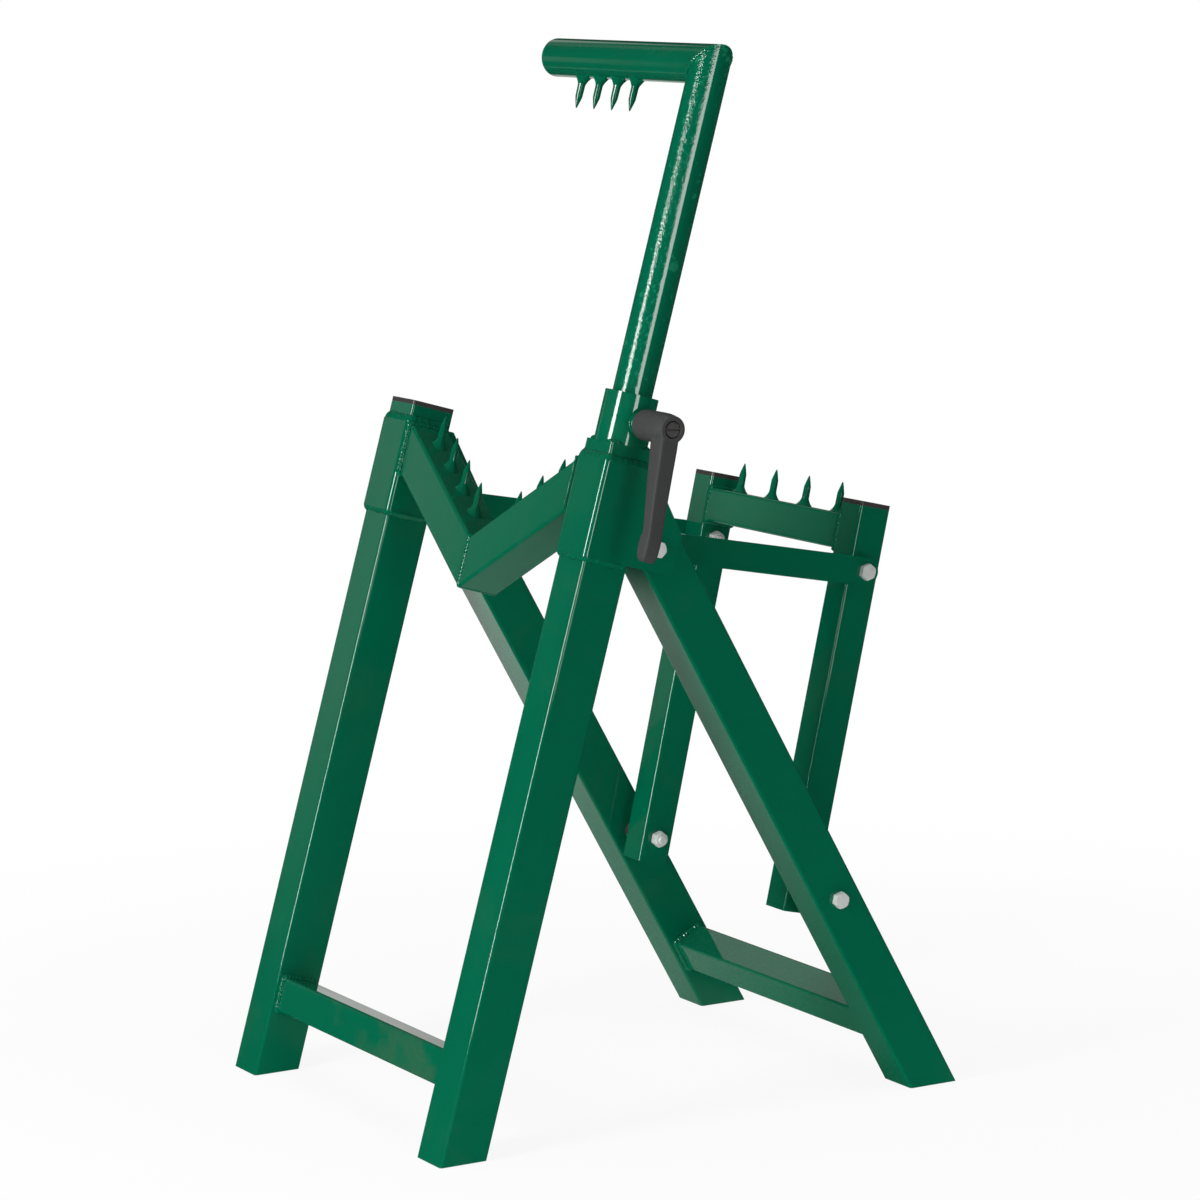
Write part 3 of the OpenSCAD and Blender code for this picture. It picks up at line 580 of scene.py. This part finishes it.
seam = []
for k in range(boss_stations):
    angle = 2 * math.pi * k / boss_stations
    out, up = boss_radius * math.cos(angle), boss_radius * math.sin(angle)
    x = math.sqrt(sleeve_radius ** 2 - out ** 2)
    root = clamp_centre + across * x + rearward * out + upward * up
    away = rearward * math.cos(angle) + upward * math.sin(angle)
    wrap = (away - across * (out / x) * math.cos(angle)).normalized()
    seam.append((root, wrap * boss_weld_reach, across * boss_weld_reach, away + across))
lay_weld("clamp_boss_weld", seam, "front_frame", ripple=0.25)

for k in range(4):
    corner_angle = math.radians(45 + 90 * k)
    seam = []
    for i in range(-4, 5):
        angle = corner_angle + math.radians(4.5 * i)
        away = across * math.cos(angle) + rearward * math.sin(angle)
        root = on_front(right_x, 0, leg_length) + away * sleeve_radius
        spread = (3.4 - 0.12 * i * i) * mm
        seam.append((root, away * spread, upward * (3.2 - 0.1 * i * i) * mm, away + upward))
    lay_weld(f"sleeve_corner_weld_{k}", seam, "front_frame", closed=False)


# Left leg cap
# A moulded plastic plug with a thin rim closes the top of the left leg.

def make_cap_plastic():
    """Satin black moulding with a fine spark-eroded grain, a little scuffed on its rim."""
    material, _ = plain_finish(
        "cap_plastic",
        {"Color": (0.036, 0.034, 0.033, 1.0), "Drift": 0.35, "Dust": 0.10, "Clouds per metre": 60.0},
        {"Reach": 0.0008, "Patchiness": 0.9}, (0.062, 0.058, 0.056, 1.0), (0.38, 0.52),
        {"Cells per metre": 1500.0, "Pimples": 0.6}, (0.4, 0.0001))
    return material


cap_plastic = make_cap_plastic()
finish_nodes(("leg_cap",), cap_plastic)


# Pivot bolts, spacers and nuts
# M8 hexagon bolts with lock nuts, bright zinc plated. Each runs through a bracket, a rear leg,
# a tube spacer and a stay, and is the hinge of the rear frame.

def make_bright_zinc():
    """Bright zinc plate: bluish metal with cloudy passivation and fine rubbing marks."""
    material, shader = plain_finish(
        "bright_zinc",
        {"Color": (0.70, 0.73, 0.71, 1.0), "Drift": 0.25, "Dust": 0.04, "Clouds per metre": 180.0},
        {"Reach": 0.0005, "Patchiness": 0.4}, (0.80, 0.81, 0.80, 1.0), (0.30, 0.42),
        {"Cells per metre": 900.0, "Pimples": 0.8}, (0.25, 0.00008))
    shader.inputs["Metallic"].default_value = 0.35
    return material


bright_zinc = make_bright_zinc()
finish_nodes(("pivot_bolts", "pivot_spacers", "pivot_nuts"), bright_zinc)


# Rear legs
# The same square tube as the front legs. The slanted upper end comes to rest against the front
# leg when the stand is open.

finish_nodes(("rear_leg_left", "rear_leg_right"), green_powder)
spread = math.radians(joints["rear_fold"]["range_deg"][1])
rear_lean = spread - lean
rear_out = Vector((0, math.cos(rear_lean), math.sin(rear_lean)))
rear_up = Vector((0, -math.sin(rear_lean), math.cos(rear_lean)))


# Rear crossbar
# A light square tube welded between the rear legs near their feet.

finish_nodes(("rear_crossbar",), green_powder)
weld_bar("rear_crossbar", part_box("rear_crossbar"), rear_out, rear_up, "rear_frame")


# Rear support
# Two legs of light square tube, joined near their tops by a crossbar of the same tube that is
# welded flush between them. A row of spikes stands on the crossbar.

finish_nodes(("support_leg_left", "support_leg_right", "support_crossbar", "support_spikes"), green_powder)
support_lean = math.radians(13.25)
support_weld_reach, flush_reach = 3.2 * mm, 3.0 * mm
support_out = Vector((0, math.cos(support_lean), -math.sin(support_lean)))
support_up = Vector((0, math.sin(support_lean), math.cos(support_lean)))
stand_spikes("support_spike_row", "support_spikes", "rear_frame", support_up, support_up,
             lambda along, beside: 0.0)
for label, centre, inward in bar_ends(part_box("support_crossbar")):
    seam = []
    for point, out in tube_outline(bar_half, bar_half, bar_corner):
        away = support_out * out.x + support_up * out.y
        root = centre + support_out * point.x + support_up * point.y
        flush = abs(out.x) > 0.7
        over_leg = inward * -flush_reach if flush else away * support_weld_reach
        bulge = away if flush else away + inward
        seam.append((root, over_leg, inward * support_weld_reach, bulge))
    lay_weld(f"support_crossbar_weld_{label}", seam, "rear_frame", crown=0.14)


# Support leg caps
# Plastic plugs with a thin rim in the open tops of the support legs.

finish_nodes(("support_cap_left", "support_cap_right"), cap_plastic)


# Stays
# Flat bars with round ends between the pivot bolts and the support legs; they hold the support
# upright and are coated like the frame.

finish_nodes(("stay_left", "stay_right"), green_powder)


# Support and stay bolts
# The same zinc plated bolts and lock nuts; black plastic bushes keep the support legs off the
# rear legs.

finish_nodes(("support_bolts", "support_nuts", "stay_bolts", "stay_nuts"), bright_zinc)
finish_nodes(("support_spacers",), cap_plastic)


# Arm guide
# A square nylon plug that slides in the right leg; the clamp arm's post turns on its spigot.

def make_guide_nylon():
    """Off-white moulded nylon, slightly waxy and rubbed grey where it slides."""
    material, _ = plain_finish(
        "guide_nylon",
        {"Color": (0.66, 0.64, 0.58, 1.0), "Drift": 0.15, "Dust": 0.0, "Clouds per metre": 50.0},
        {"Reach": 0.002, "Patchiness": 0.8}, (0.38, 0.38, 0.36, 1.0), (0.42, 0.58),
        {"Cells per metre": 800.0, "Pimples": 0.4}, (0.3, 0.0001))
    return material


finish_nodes(("arm_guide",), make_guide_nylon())


# Clamp arm
# Round steel tube: a post that slides in the sleeve and a bar, mitred and welded at the corner,
# with four spikes under the bar and a plug, coated with it, in its free end.

post_radius = (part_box("arm_post")[1].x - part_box("arm_post")[0].x) / 2
spray_turn = math.radians(42)
corner_weld_reach, corner_stations = 3.2 * mm, 120


def dry_spray(tree, height):
    """Sandy overspray down the front right of the post, coarser towards its top, with paler flecks and
    painted highlight specks where the key strip's stripe falls; gives the height and these flecks."""
    place = tree.nodes.new("ShaderNodeTexCoord").outputs["Object"]
    towards = across * math.sin(spray_turn) - rearward * math.cos(spray_turn)
    out = add_node(tree, "ShaderNodeVectorMath", {"operation": "DOT_PRODUCT"}, {1: towards}, {0: place})
    axis = on_front(right_x, 0, leg_length).dot(towards)
    front = ramp(tree, out.outputs["Value"], axis + 0.86 * post_radius, axis + 0.97 * post_radius)
    level = add_node(tree, "ShaderNodeSeparateXYZ", None, None, {0: place}).outputs["Z"]
    coarse = product(tree, front, ramp(tree, level, 0.72, 0.80, 0.8, 1.6))
    sand = place_group(tree, orange_peel, {"Cells per metre": 430.0, "Pimples": 0.5})
    sanded = calculate(tree, "MULTIPLY_ADD", sand.outputs["Height"], coarse, product(tree, height, 0.04))
    fine = add_node(tree, "ShaderNodeTexNoise", None, {"Scale": 430.0, "Detail": 2.0}, {"Vector": place})
    broad = add_node(tree, "ShaderNodeTexNoise", None, {"Scale": 75.0, "Detail": 3.0}, {"Vector": place})
    # Painted highlight: paler specks only in the band that faces the key strip, where its reflection falls;
    # the broad paler patches are random tone.
    painted_glint_specks = product(tree, ramp(tree, fine.outputs["Fac"], 0.56, 0.66, 0.0, 0.55), front)
    flecks_and_painted_glints = calculate(tree, "MAXIMUM", painted_glint_specks, ramp(tree, broad.outputs["Fac"], 0.63, 0.66, 0.0, 0.55))
    return sanded, flecks_and_painted_glints


finish_nodes(("arm_bar", "arm_spikes", "arm_cap"), green_powder)
finish_nodes(("arm_post",), make_green_powder("green_powder_sanded", 0.03, dry_spray))
bar_low, bar_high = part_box("arm_bar")
arm_corner = Vector((right_x, (bar_low.y + bar_high.y) / 2, (bar_low.z + bar_high.z) / 2))
stand_spikes("arm_spike_row", "arm_spikes", "clamp_arm", -upward, -upward,
             lambda along, beside: math.sqrt(post_radius ** 2 - beside ** 2) - post_radius)
seam = []
for k in range(corner_stations):
    angle = 2 * math.pi * k / corner_stations
    slope, flank = post_radius * math.sin(angle), post_radius * math.cos(angle)
    root = arm_corner + (across + upward) * slope + rearward * flank
    bulge = (across + upward) * math.sin(angle) / 2 + rearward * math.cos(angle)
    seam.append((root, upward * -corner_weld_reach, across * -corner_weld_reach, bulge))
lay_weld("arm_mitre_weld", seam, "clamp_arm", crown=0.27)


# Clamp stud and retaining screw
# The toothed steel insert carries the stud that presses on the post. The slotted screw holds the
# lever and its spring on the insert.

finish_nodes(("clamp_stud", "lever_spring"), bright_zinc)


def make_black_screw():
    """Dark oxide steel with a worn bright slot."""
    material, shader = plain_finish(
        "black_screw",
        {"Color": (0.100, 0.098, 0.095, 1.0), "Drift": 0.4, "Dust": 0.05, "Clouds per metre": 220.0},
        {"Reach": 0.0005, "Patchiness": 0.6}, (0.16, 0.16, 0.16, 1.0), (0.40, 0.55),
        {"Cells per metre": 1400.0, "Pimples": 0.5}, (0.25, 0.00008))
    shader.inputs["Metallic"].default_value = 0.6
    return material


finish_nodes(("lever_screw",), make_black_screw())


# Return spring
# A coil of plated spring wire between the lever's web and the screw's head, out of sight in the
# hub. In the stand it is pressed together when the lever is pulled off its teeth; here it is one rigid coil
# that rides with the lever.

spring_low, spring_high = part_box("lever_spring")
spring_middle = (spring_low + spring_high) / 2
spring_length = spring_high.x - spring_low.x
wire_radius, coil_radius = 0.55 * mm, 5.0 * mm
coil_turns, steps_a_turn, wire_sides = 4, 24, 8
coil_steps = coil_turns * steps_a_turn
points = []
for k in range(coil_steps + 1):
    turn = 2 * math.pi * k / steps_a_turn
    along = spring_low.x + wire_radius + (spring_length - 2 * wire_radius) * k / coil_steps
    for i in range(wire_sides):
        angle = 2 * math.pi * i / wire_sides
        reach = coil_radius + wire_radius * math.cos(angle)
        points.append(Vector((along + wire_radius * math.sin(angle),
                              spring_middle.y + reach * math.cos(turn),
                              spring_middle.z + reach * math.sin(turn))))
faces = ring_faces(coil_steps + 1, wire_sides)
faces.append(tuple(range(wire_sides)))
faces.append(tuple(coil_steps * wire_sides + i for i in reversed(range(wire_sides))))
spring = new_piece("return_spring", points, faces, bright_zinc, "lever")
close_up(spring.data)
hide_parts("lever_spring")
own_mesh(spring)


# Clamp lever
# A die-cast ratchet handle with a fine dark grey texture coat: round hub, flat-sided arm that
# slopes outwards, and a thicker grip at the end. It lifts on the screw to find a new angle.

def make_lever_coat():
    """Charcoal texture coat, matt, paler on the edges."""
    material, shader = plain_finish(
        "lever_coat",
        {"Color": (0.042, 0.044, 0.043, 1.0), "Drift": 0.25, "Dust": 0.06, "Clouds per metre": 45.0},
        {"Reach": 0.0018, "Patchiness": 0.5}, (0.055, 0.058, 0.058, 1.0), (0.58, 0.70),
        {"Cells per metre": 1100.0, "Pimples": 0.9}, (0.5, 0.00012))
    shader.inputs["Specular IOR Level"].default_value = 0.25
    return material


# Radius and place along the clamp axis, in millimetres
hub_profile = ((0, 30.6), (10.8, 30.6), (12.4, 31.3), (13.0, 33.0), (13.0, 60), (12.8, 66), (12.2, 71),
               (11.5, 75.5), (11.3, 76.6), (10.9, 77), (0, 77))
# Height below the hub's axis, inner face, outer face and width, all in millimetres
arm_sections = (
    (4, 57.0, 75.5, 17.0), (-8, 57.2, 76.6, 16.8), (-16, 58.8, 78.2, 16.4), (-35, 63.6, 80.7, 15.5),
    (-55, 68.9, 83.3, 14.8), (-75, 74.0, 86.4, 13.6), (-86, 76.6, 88.2, 13.2), (-89, 75.6, 88.7, 13.4),
    (-92, 74.8, 89.0, 13.6), (-98, 74.5, 89.0, 13.7), (-104, 75.2, 88.6, 13.4), (-108, 76.8, 87.6, 12.2),
    (-110.4, 79.0, 85.8, 9.0))


corner_power = 0.20


def in_hub(x, out, up):
    """Point in the lever's own directions from the clamp axis, in millimetres."""
    return clamp_centre + (across * x + rearward * out + upward * up) * mm


def turned(profile, sides):
    """Closed mesh turned about the clamp axis from pairs of radius and place."""
    points = []
    for radius, x in profile:
        for k in range(sides):
            angle = 2 * math.pi * k / sides
            points.append(in_hub(x, radius * math.cos(angle), radius * math.sin(angle)))
    return points, ring_faces(len(profile), sides)


def arm_loft(sections, sides):
    """Closed mesh through flat-sided sections with rounded corners."""
    points = []
    for up, inner, outer, width in sections:
        for k in range(sides):
            angle = 2 * math.pi * (k + 0.5) / sides
            c, s = math.cos(angle), math.sin(angle)
            x = math.copysign(abs(c) ** corner_power, c) * (outer - inner) / 2
            out = math.copysign(abs(s) ** corner_power, s) * width / 2
            points.append(in_hub((inner + outer) / 2 + x, out, up))
    faces = ring_faces(len(sections), sides)
    faces.append(tuple(range(sides)))
    faces.append(tuple((len(sections) - 1) * sides + k for k in reversed(range(sides))))
    return points, faces


def apply_modifiers(piece):
    """Replaces a piece's mesh by what its modifiers make of it."""
    view = bpy.context.evaluated_depsgraph_get()
    made = bpy.data.meshes.new_from_object(piece.evaluated_get(view))
    piece.modifiers.clear()
    piece.data = made


lever_coat = make_lever_coat()
finish_nodes(("lever_handle",), lever_coat)
hub_points, hub_faces = turned(hub_profile, 64)
arm_points, arm_faces = arm_loft(arm_sections, 48)
both_faces = hub_faces + [tuple(len(hub_points) + i for i in face) for face in arm_faces]
lever = new_piece("clamp_lever", hub_points + arm_points, both_faces, lever_coat, "lever")
close_up(lever.data)
remesh = lever.modifiers.new("one_casting", "REMESH")
remesh.mode = "VOXEL"
remesh.voxel_size = 0.4 * mm
remesh.use_smooth_shade = True
soften = lever.modifiers.new("soft_edges", "SMOOTH")
soften.factor = 0.5
soften.iterations = 4
apply_modifiers(lever)

# The recesses for the teeth, the insert, the screw and the spring, given like the hub
bore_profile = ((0, 30.0), (8.8, 30.0), (8.8, 35.0), (6.3, 35.0), (6.3, 54.2), (3.3, 54.2), (3.3, 57.2),
                (7.2, 57.2), (7.2, 76.2), (7.9, 77.4), (0, 77.4))
bore_points, bore_faces = turned(bore_profile, 64)
bore_mesh = bpy.data.meshes.new("lever_bore")
bore_mesh.from_pydata(bore_points, [], bore_faces)
bore = bpy.data.objects.new("lever_bore", bore_mesh)
bpy.context.scene.collection.objects.link(bore)
close_up(bore_mesh)
drill = lever.modifiers.new("bores", "BOOLEAN")
drill.operation = "DIFFERENCE"
drill.solver = "EXACT"
drill.object = bore
apply_modifiers(lever)
bpy.data.objects.remove(bore)
lever.data.shade_smooth()
lever.data.set_sharp_from_angle(angle=math.radians(40))
lever.data.materials.clear()
lever.data.materials.append(lever_coat)
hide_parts("lever_handle")


# Floor
# A plain white floor that keeps the stand's soft shadow. Close to the stand it also glows weakly,
# though it is no lamp: painted light on the undersides. It and the surroundings read as white.

def shown(tree, path):
    """One for a ray from the camera, off a gloss surface or through glass, from a Light Path node."""
    seen = calculate(tree, "MAXIMUM", path["Is Camera Ray"], path["Is Glossy Ray"])
    return calculate(tree, "MAXIMUM", seen, path["Is Transmission Ray"])


def make_floor_white():
    """White where it is seen or mirrored; close by it glows weakly onto the stand, painted light added to
    its bounce.
    """
    material, tree, shader = new_material("floor_white")
    tree.nodes.remove(shader)
    path = tree.nodes.new("ShaderNodeLightPath").outputs
    place = tree.nodes.new("ShaderNodeTexCoord").outputs["Object"]
    distance = add_node(tree, "ShaderNodeVectorMath", {"operation": "LENGTH"}, None, {0: place})
    fading = ramp(tree, distance.outputs["Value"], 0.3, 1.3, 0.90, 1.0)
    share = product(tree, shown(tree, path), fading)
    # Painted light: a patch round the stand glows for diffuse rays only and lights its undersides.
    glow_patch_mask = ramp(tree, distance.outputs["Value"], 0.4, 0.9, 0.7, 0.0)
    matt = add_node(tree, "ShaderNodeBsdfDiffuse", None, {"Color": (0.85, 0.85, 0.85, 1.0)})
    added_underglow = add_node(tree, "ShaderNodeEmission", None, None,
                      {"Strength": product(tree, glow_patch_mask, path["Is Diffuse Ray"])})
    lit = add_node(tree, "ShaderNodeAddShader", None, None, {0: matt.outputs[0], 1: added_underglow.outputs[0]})
    glow = add_node(tree, "ShaderNodeEmission", None, {"Color": (1.0, 1.0, 1.0, 1.0), "Strength": 1.0})
    mixed = add_node(tree, "ShaderNodeMixShader", None, None,
                     {0: share, 1: lit.outputs[0], 2: glow.outputs[0]})
    tree.links.new(mixed.outputs[0], tree.nodes["Material Output"].inputs["Surface"])
    return material


floor_mesh = bpy.data.meshes.new("floor")
floor_shape = bmesh.new()
bmesh.ops.create_circle(floor_shape, cap_ends=True, segments=96, radius=9.0)
floor_shape.to_mesh(floor_mesh)
floor_shape.free()
floor = bpy.data.objects.new("floor", floor_mesh)
floor.location.z = -0.0006
floor_mesh.materials.append(make_floor_white())
bpy.context.scene.collection.objects.link(floor)


# Surroundings
# An even white studio: white where it is seen or mirrored, dimmer as a light on the stand.

world = bpy.data.worlds.new("studio")
bpy.context.scene.world = world
world.use_nodes = True
sky = world.node_tree
path = sky.nodes.new("ShaderNodeLightPath").outputs
sky_level = ramp(sky, shown(sky, path), 0.0, 1.0, 0.30, 1.0)
sky.nodes["Background"].inputs["Color"].default_value = (1.0, 1.0, 1.0, 1.0)
sky.links.new(sky_level, sky.nodes["Background"].inputs["Strength"])


# Groundsheet and flats
# Gloss paint shows what stands round it, so the stand is surrounded as in a studio: a pale sheet
# under it with a strip further out, dark flats all round, and lighter ones to the left. They glow
# unseen and only reflections meet them, so their dark and pale patches are painted reflections.

def stage_glow(name, shape, level, material, tree):
    """Stage piece that only reflections meet, glowing at a level that varies over it: a painted reflection.
    """
    tree.nodes.remove(tree.nodes["Principled BSDF"])
    glow = add_node(tree, "ShaderNodeEmission", None, {"Color": (1.0, 0.99, 0.97, 1.0)},
                    {"Strength": level})
    tree.links.new(glow.outputs[0], tree.nodes["Material Output"].inputs["Surface"])
    mesh = bpy.data.meshes.new(name)
    shape.to_mesh(mesh)
    shape.free()
    mesh.materials.append(material)
    piece = bpy.data.objects.new(name, mesh)
    bpy.context.scene.collection.objects.link(piece)
    piece.visible_camera = False
    piece.visible_diffuse = False
    piece.visible_transmission = False
    piece.visible_shadow = False
    return piece


def window(tree, source, start, end, soft):
    """One between start and end, falling to nothing over the soft margin on both sides."""
    rise = ramp(tree, source, start - soft, start)
    fall = ramp(tree, source, end, end + soft, 1.0, 0.0)
    return product(tree, rise, fall)


def add_up(tree, base, parts):
    """Base level plus each part at its own strength, given as pairs of mask and strength."""
    total = base
    for mask, strength in parts:
        total = calculate(tree, "MULTIPLY_ADD", mask, strength, total)
    return total


def bearing(tree, place):
    """Angle of a place as seen from the stand, from straight left towards the front, in radians."""
    xyz = add_node(tree, "ShaderNodeSeparateXYZ", None, None, {0: place}).outputs
    left = product(tree, xyz["X"], -1.0)
    front = calculate(tree, "MULTIPLY_ADD", xyz["Y"], -1.0, -0.1)
    return calculate(tree, "ARCTAN2", front, left), xyz["Z"]


flats_radius = 3.6
dark_level = 0.02
far_turn = (math.radians(-37), math.radians(-20), math.radians(4))

sheet_material, sheet_tree, _ = new_material("groundsheet")
sheet_place = sheet_tree.nodes.new("ShaderNodeTexCoord").outputs["Object"]
sheet_xyz = add_node(sheet_tree, "ShaderNodeSeparateXYZ", None, None, {0: sheet_place}).outputs
from_middle = add_node(sheet_tree, "ShaderNodeVectorMath", {"operation": "LENGTH"}, None, {0: sheet_place})
# Painted reflections: glowing patches of the sheet, set to what the paint mirrors at each place.
around = product(sheet_tree, window(sheet_tree, sheet_xyz["X"], -1.2, 0.08, 0.06),
                 window(sheet_tree, sheet_xyz["Y"], -0.15, 0.24, 0.05))
near_sheet = product(sheet_tree, around, ramp(sheet_tree, sheet_xyz["X"], -0.32, 0.02, 1.0, 0.0))
left_sheet = product(sheet_tree, around, ramp(sheet_tree, sheet_xyz["X"], -1.0, -0.36, 1.0, 0.0))
pale_strip = product(sheet_tree, window(sheet_tree, sheet_xyz["Y"], -0.62, -0.54, 0.03),
                     window(sheet_tree, sheet_xyz["X"], -2.3, -1.25, 0.1))
sheet_turn, _ = bearing(sheet_tree, sheet_place)
pale_end = product(sheet_tree, window(sheet_tree, sheet_turn, *far_turn),
                   ramp(sheet_tree, from_middle.outputs["Value"], 1.7, 2.2))
sheet_painted_reflection = add_up(sheet_tree, dark_level, ((around, 0.07), (near_sheet, 0.25), (left_sheet, 0.62),
                                              (pale_strip, 0.28), (pale_end, 0.68)))
sheet_shape = bmesh.new()
bmesh.ops.create_circle(sheet_shape, cap_ends=True, segments=64, radius=flats_radius)
sheet = stage_glow("groundsheet", sheet_shape, sheet_painted_reflection, sheet_material, sheet_tree)
sheet.location.z = -0.0003

flats_material, flats_tree, _ = new_material("flats")
flats_turn, flats_height = bearing(flats_tree, flats_tree.nodes.new("ShaderNodeTexCoord").outputs["Object"])
# Painted reflections: glowing patches of the flats, set to what the paint mirrors at each place.
pale_flat = product(flats_tree, ramp(flats_tree, flats_turn, math.radians(12), math.radians(17)),
                    ramp(flats_tree, flats_turn, math.radians(25.5), math.radians(32), 1.0, 0.0))
pale_flat = product(flats_tree, pale_flat, ramp(flats_tree, flats_height, 0.05, 0.68))
pale_flat = product(flats_tree, pale_flat, ramp(flats_tree, flats_height, 1.08, 1.22, 1.0, 0.0))
rear_flat = product(flats_tree,
                    window(flats_tree, flats_turn, math.radians(-22), math.radians(-9.5), math.radians(2)),
                    window(flats_tree, flats_height, 1.75, 2.25, 0.12))
high_flat = product(flats_tree,
                    window(flats_tree, flats_turn, math.radians(-7), math.radians(2), math.radians(4)),
                    window(flats_tree, flats_height, 2.35, 2.7, 0.15))
far_flat = product(flats_tree, window(flats_tree, flats_turn, *far_turn),
                   ramp(flats_tree, flats_height, 0.35, 0.6, 1.0, 0.0))
flats_painted_reflection = add_up(flats_tree, dark_level, ((pale_flat, 0.28), (rear_flat, 0.55),
                                              (high_flat, 0.14), (far_flat, 0.72)))
flats_shape = bmesh.new()
bmesh.ops.create_uvsphere(flats_shape, u_segments=48, v_segments=24, radius=flats_radius)
below = [corner for corner in flats_shape.verts if corner.co.z < -0.01]
bmesh.ops.delete(flats_shape, geom=below, context="VERTS")
stage_glow("flats", flats_shape, flats_painted_reflection, flats_material, flats_tree)


# Lamps
# A tall strip light in front of the legs, a second one at the side with the clamp, and a wide
# soft box overhead.

def area_lamp(name, place, target, wide, tall, luminance, long_axis):
    """Rectangular lamp of a given luminance, with its long side along long_axis."""
    lamp = bpy.data.lights.new(name, "AREA")
    lamp.shape = "RECTANGLE"
    lamp.size = wide
    lamp.size_y = tall
    lamp.energy = luminance * math.pi * wide * tall
    holder = bpy.data.objects.new(name, lamp)
    back = (place - target).normalized()
    side = long_axis.cross(back).normalized()
    turn = Matrix((side, back.cross(side), back)).transposed().to_4x4()
    turn.translation = place
    holder.matrix_world = turn
    bpy.context.scene.collection.objects.link(holder)
    return holder


lit_point = Vector((0.146, -0.06, 0.60))
area_lamp("key_strip", Vector((0.453, -2.535, 1.12)), lit_point, 0.64, 1.20, 26, upward)
area_lamp("side_strip", Vector((2.65, -0.19, 0.80)), lit_point, 0.60, 0.95, 9, upward)
top_box = area_lamp("top_box", Vector((0.0, 0.1, 2.9)), Vector((0.0, 0.1, 0.4)), 1.6, 1.6, 2.2,
                    Vector((0, 1, 0)))
top_box.visible_glossy = False


# Camera
# Long lens at chest height, to the right of the stand and in front of it.

lens_pixels = 4442.06
frame_pixels = 1200
yaw, pitch, roll = (math.radians(angle) for angle in (60.13, 8.80, -0.77))
ahead = Vector((-math.sin(yaw) * math.cos(pitch), math.cos(yaw) * math.cos(pitch), -math.sin(pitch)))
level = Vector((math.cos(yaw), math.sin(yaw), 0))
high = level.cross(ahead)
camera = bpy.data.cameras.new("camera")
camera.sensor_width = 36
camera.lens = camera.sensor_width * lens_pixels / frame_pixels
camera.clip_end = 100
viewer = bpy.data.objects.new("camera", camera)
stance = Matrix((math.cos(roll) * level + math.sin(roll) * high,
                 math.cos(roll) * high - math.sin(roll) * level, -ahead)).transposed().to_4x4()
stance.translation = Vector((middle_x, foot_y, 0)) + Vector((3.34584, -1.67093, 1.02290))
viewer.matrix_world = stance
bpy.context.scene.collection.objects.link(viewer)
bpy.context.scene.camera = viewer

bpy.context.scene.view_settings.view_transform = "Standard"
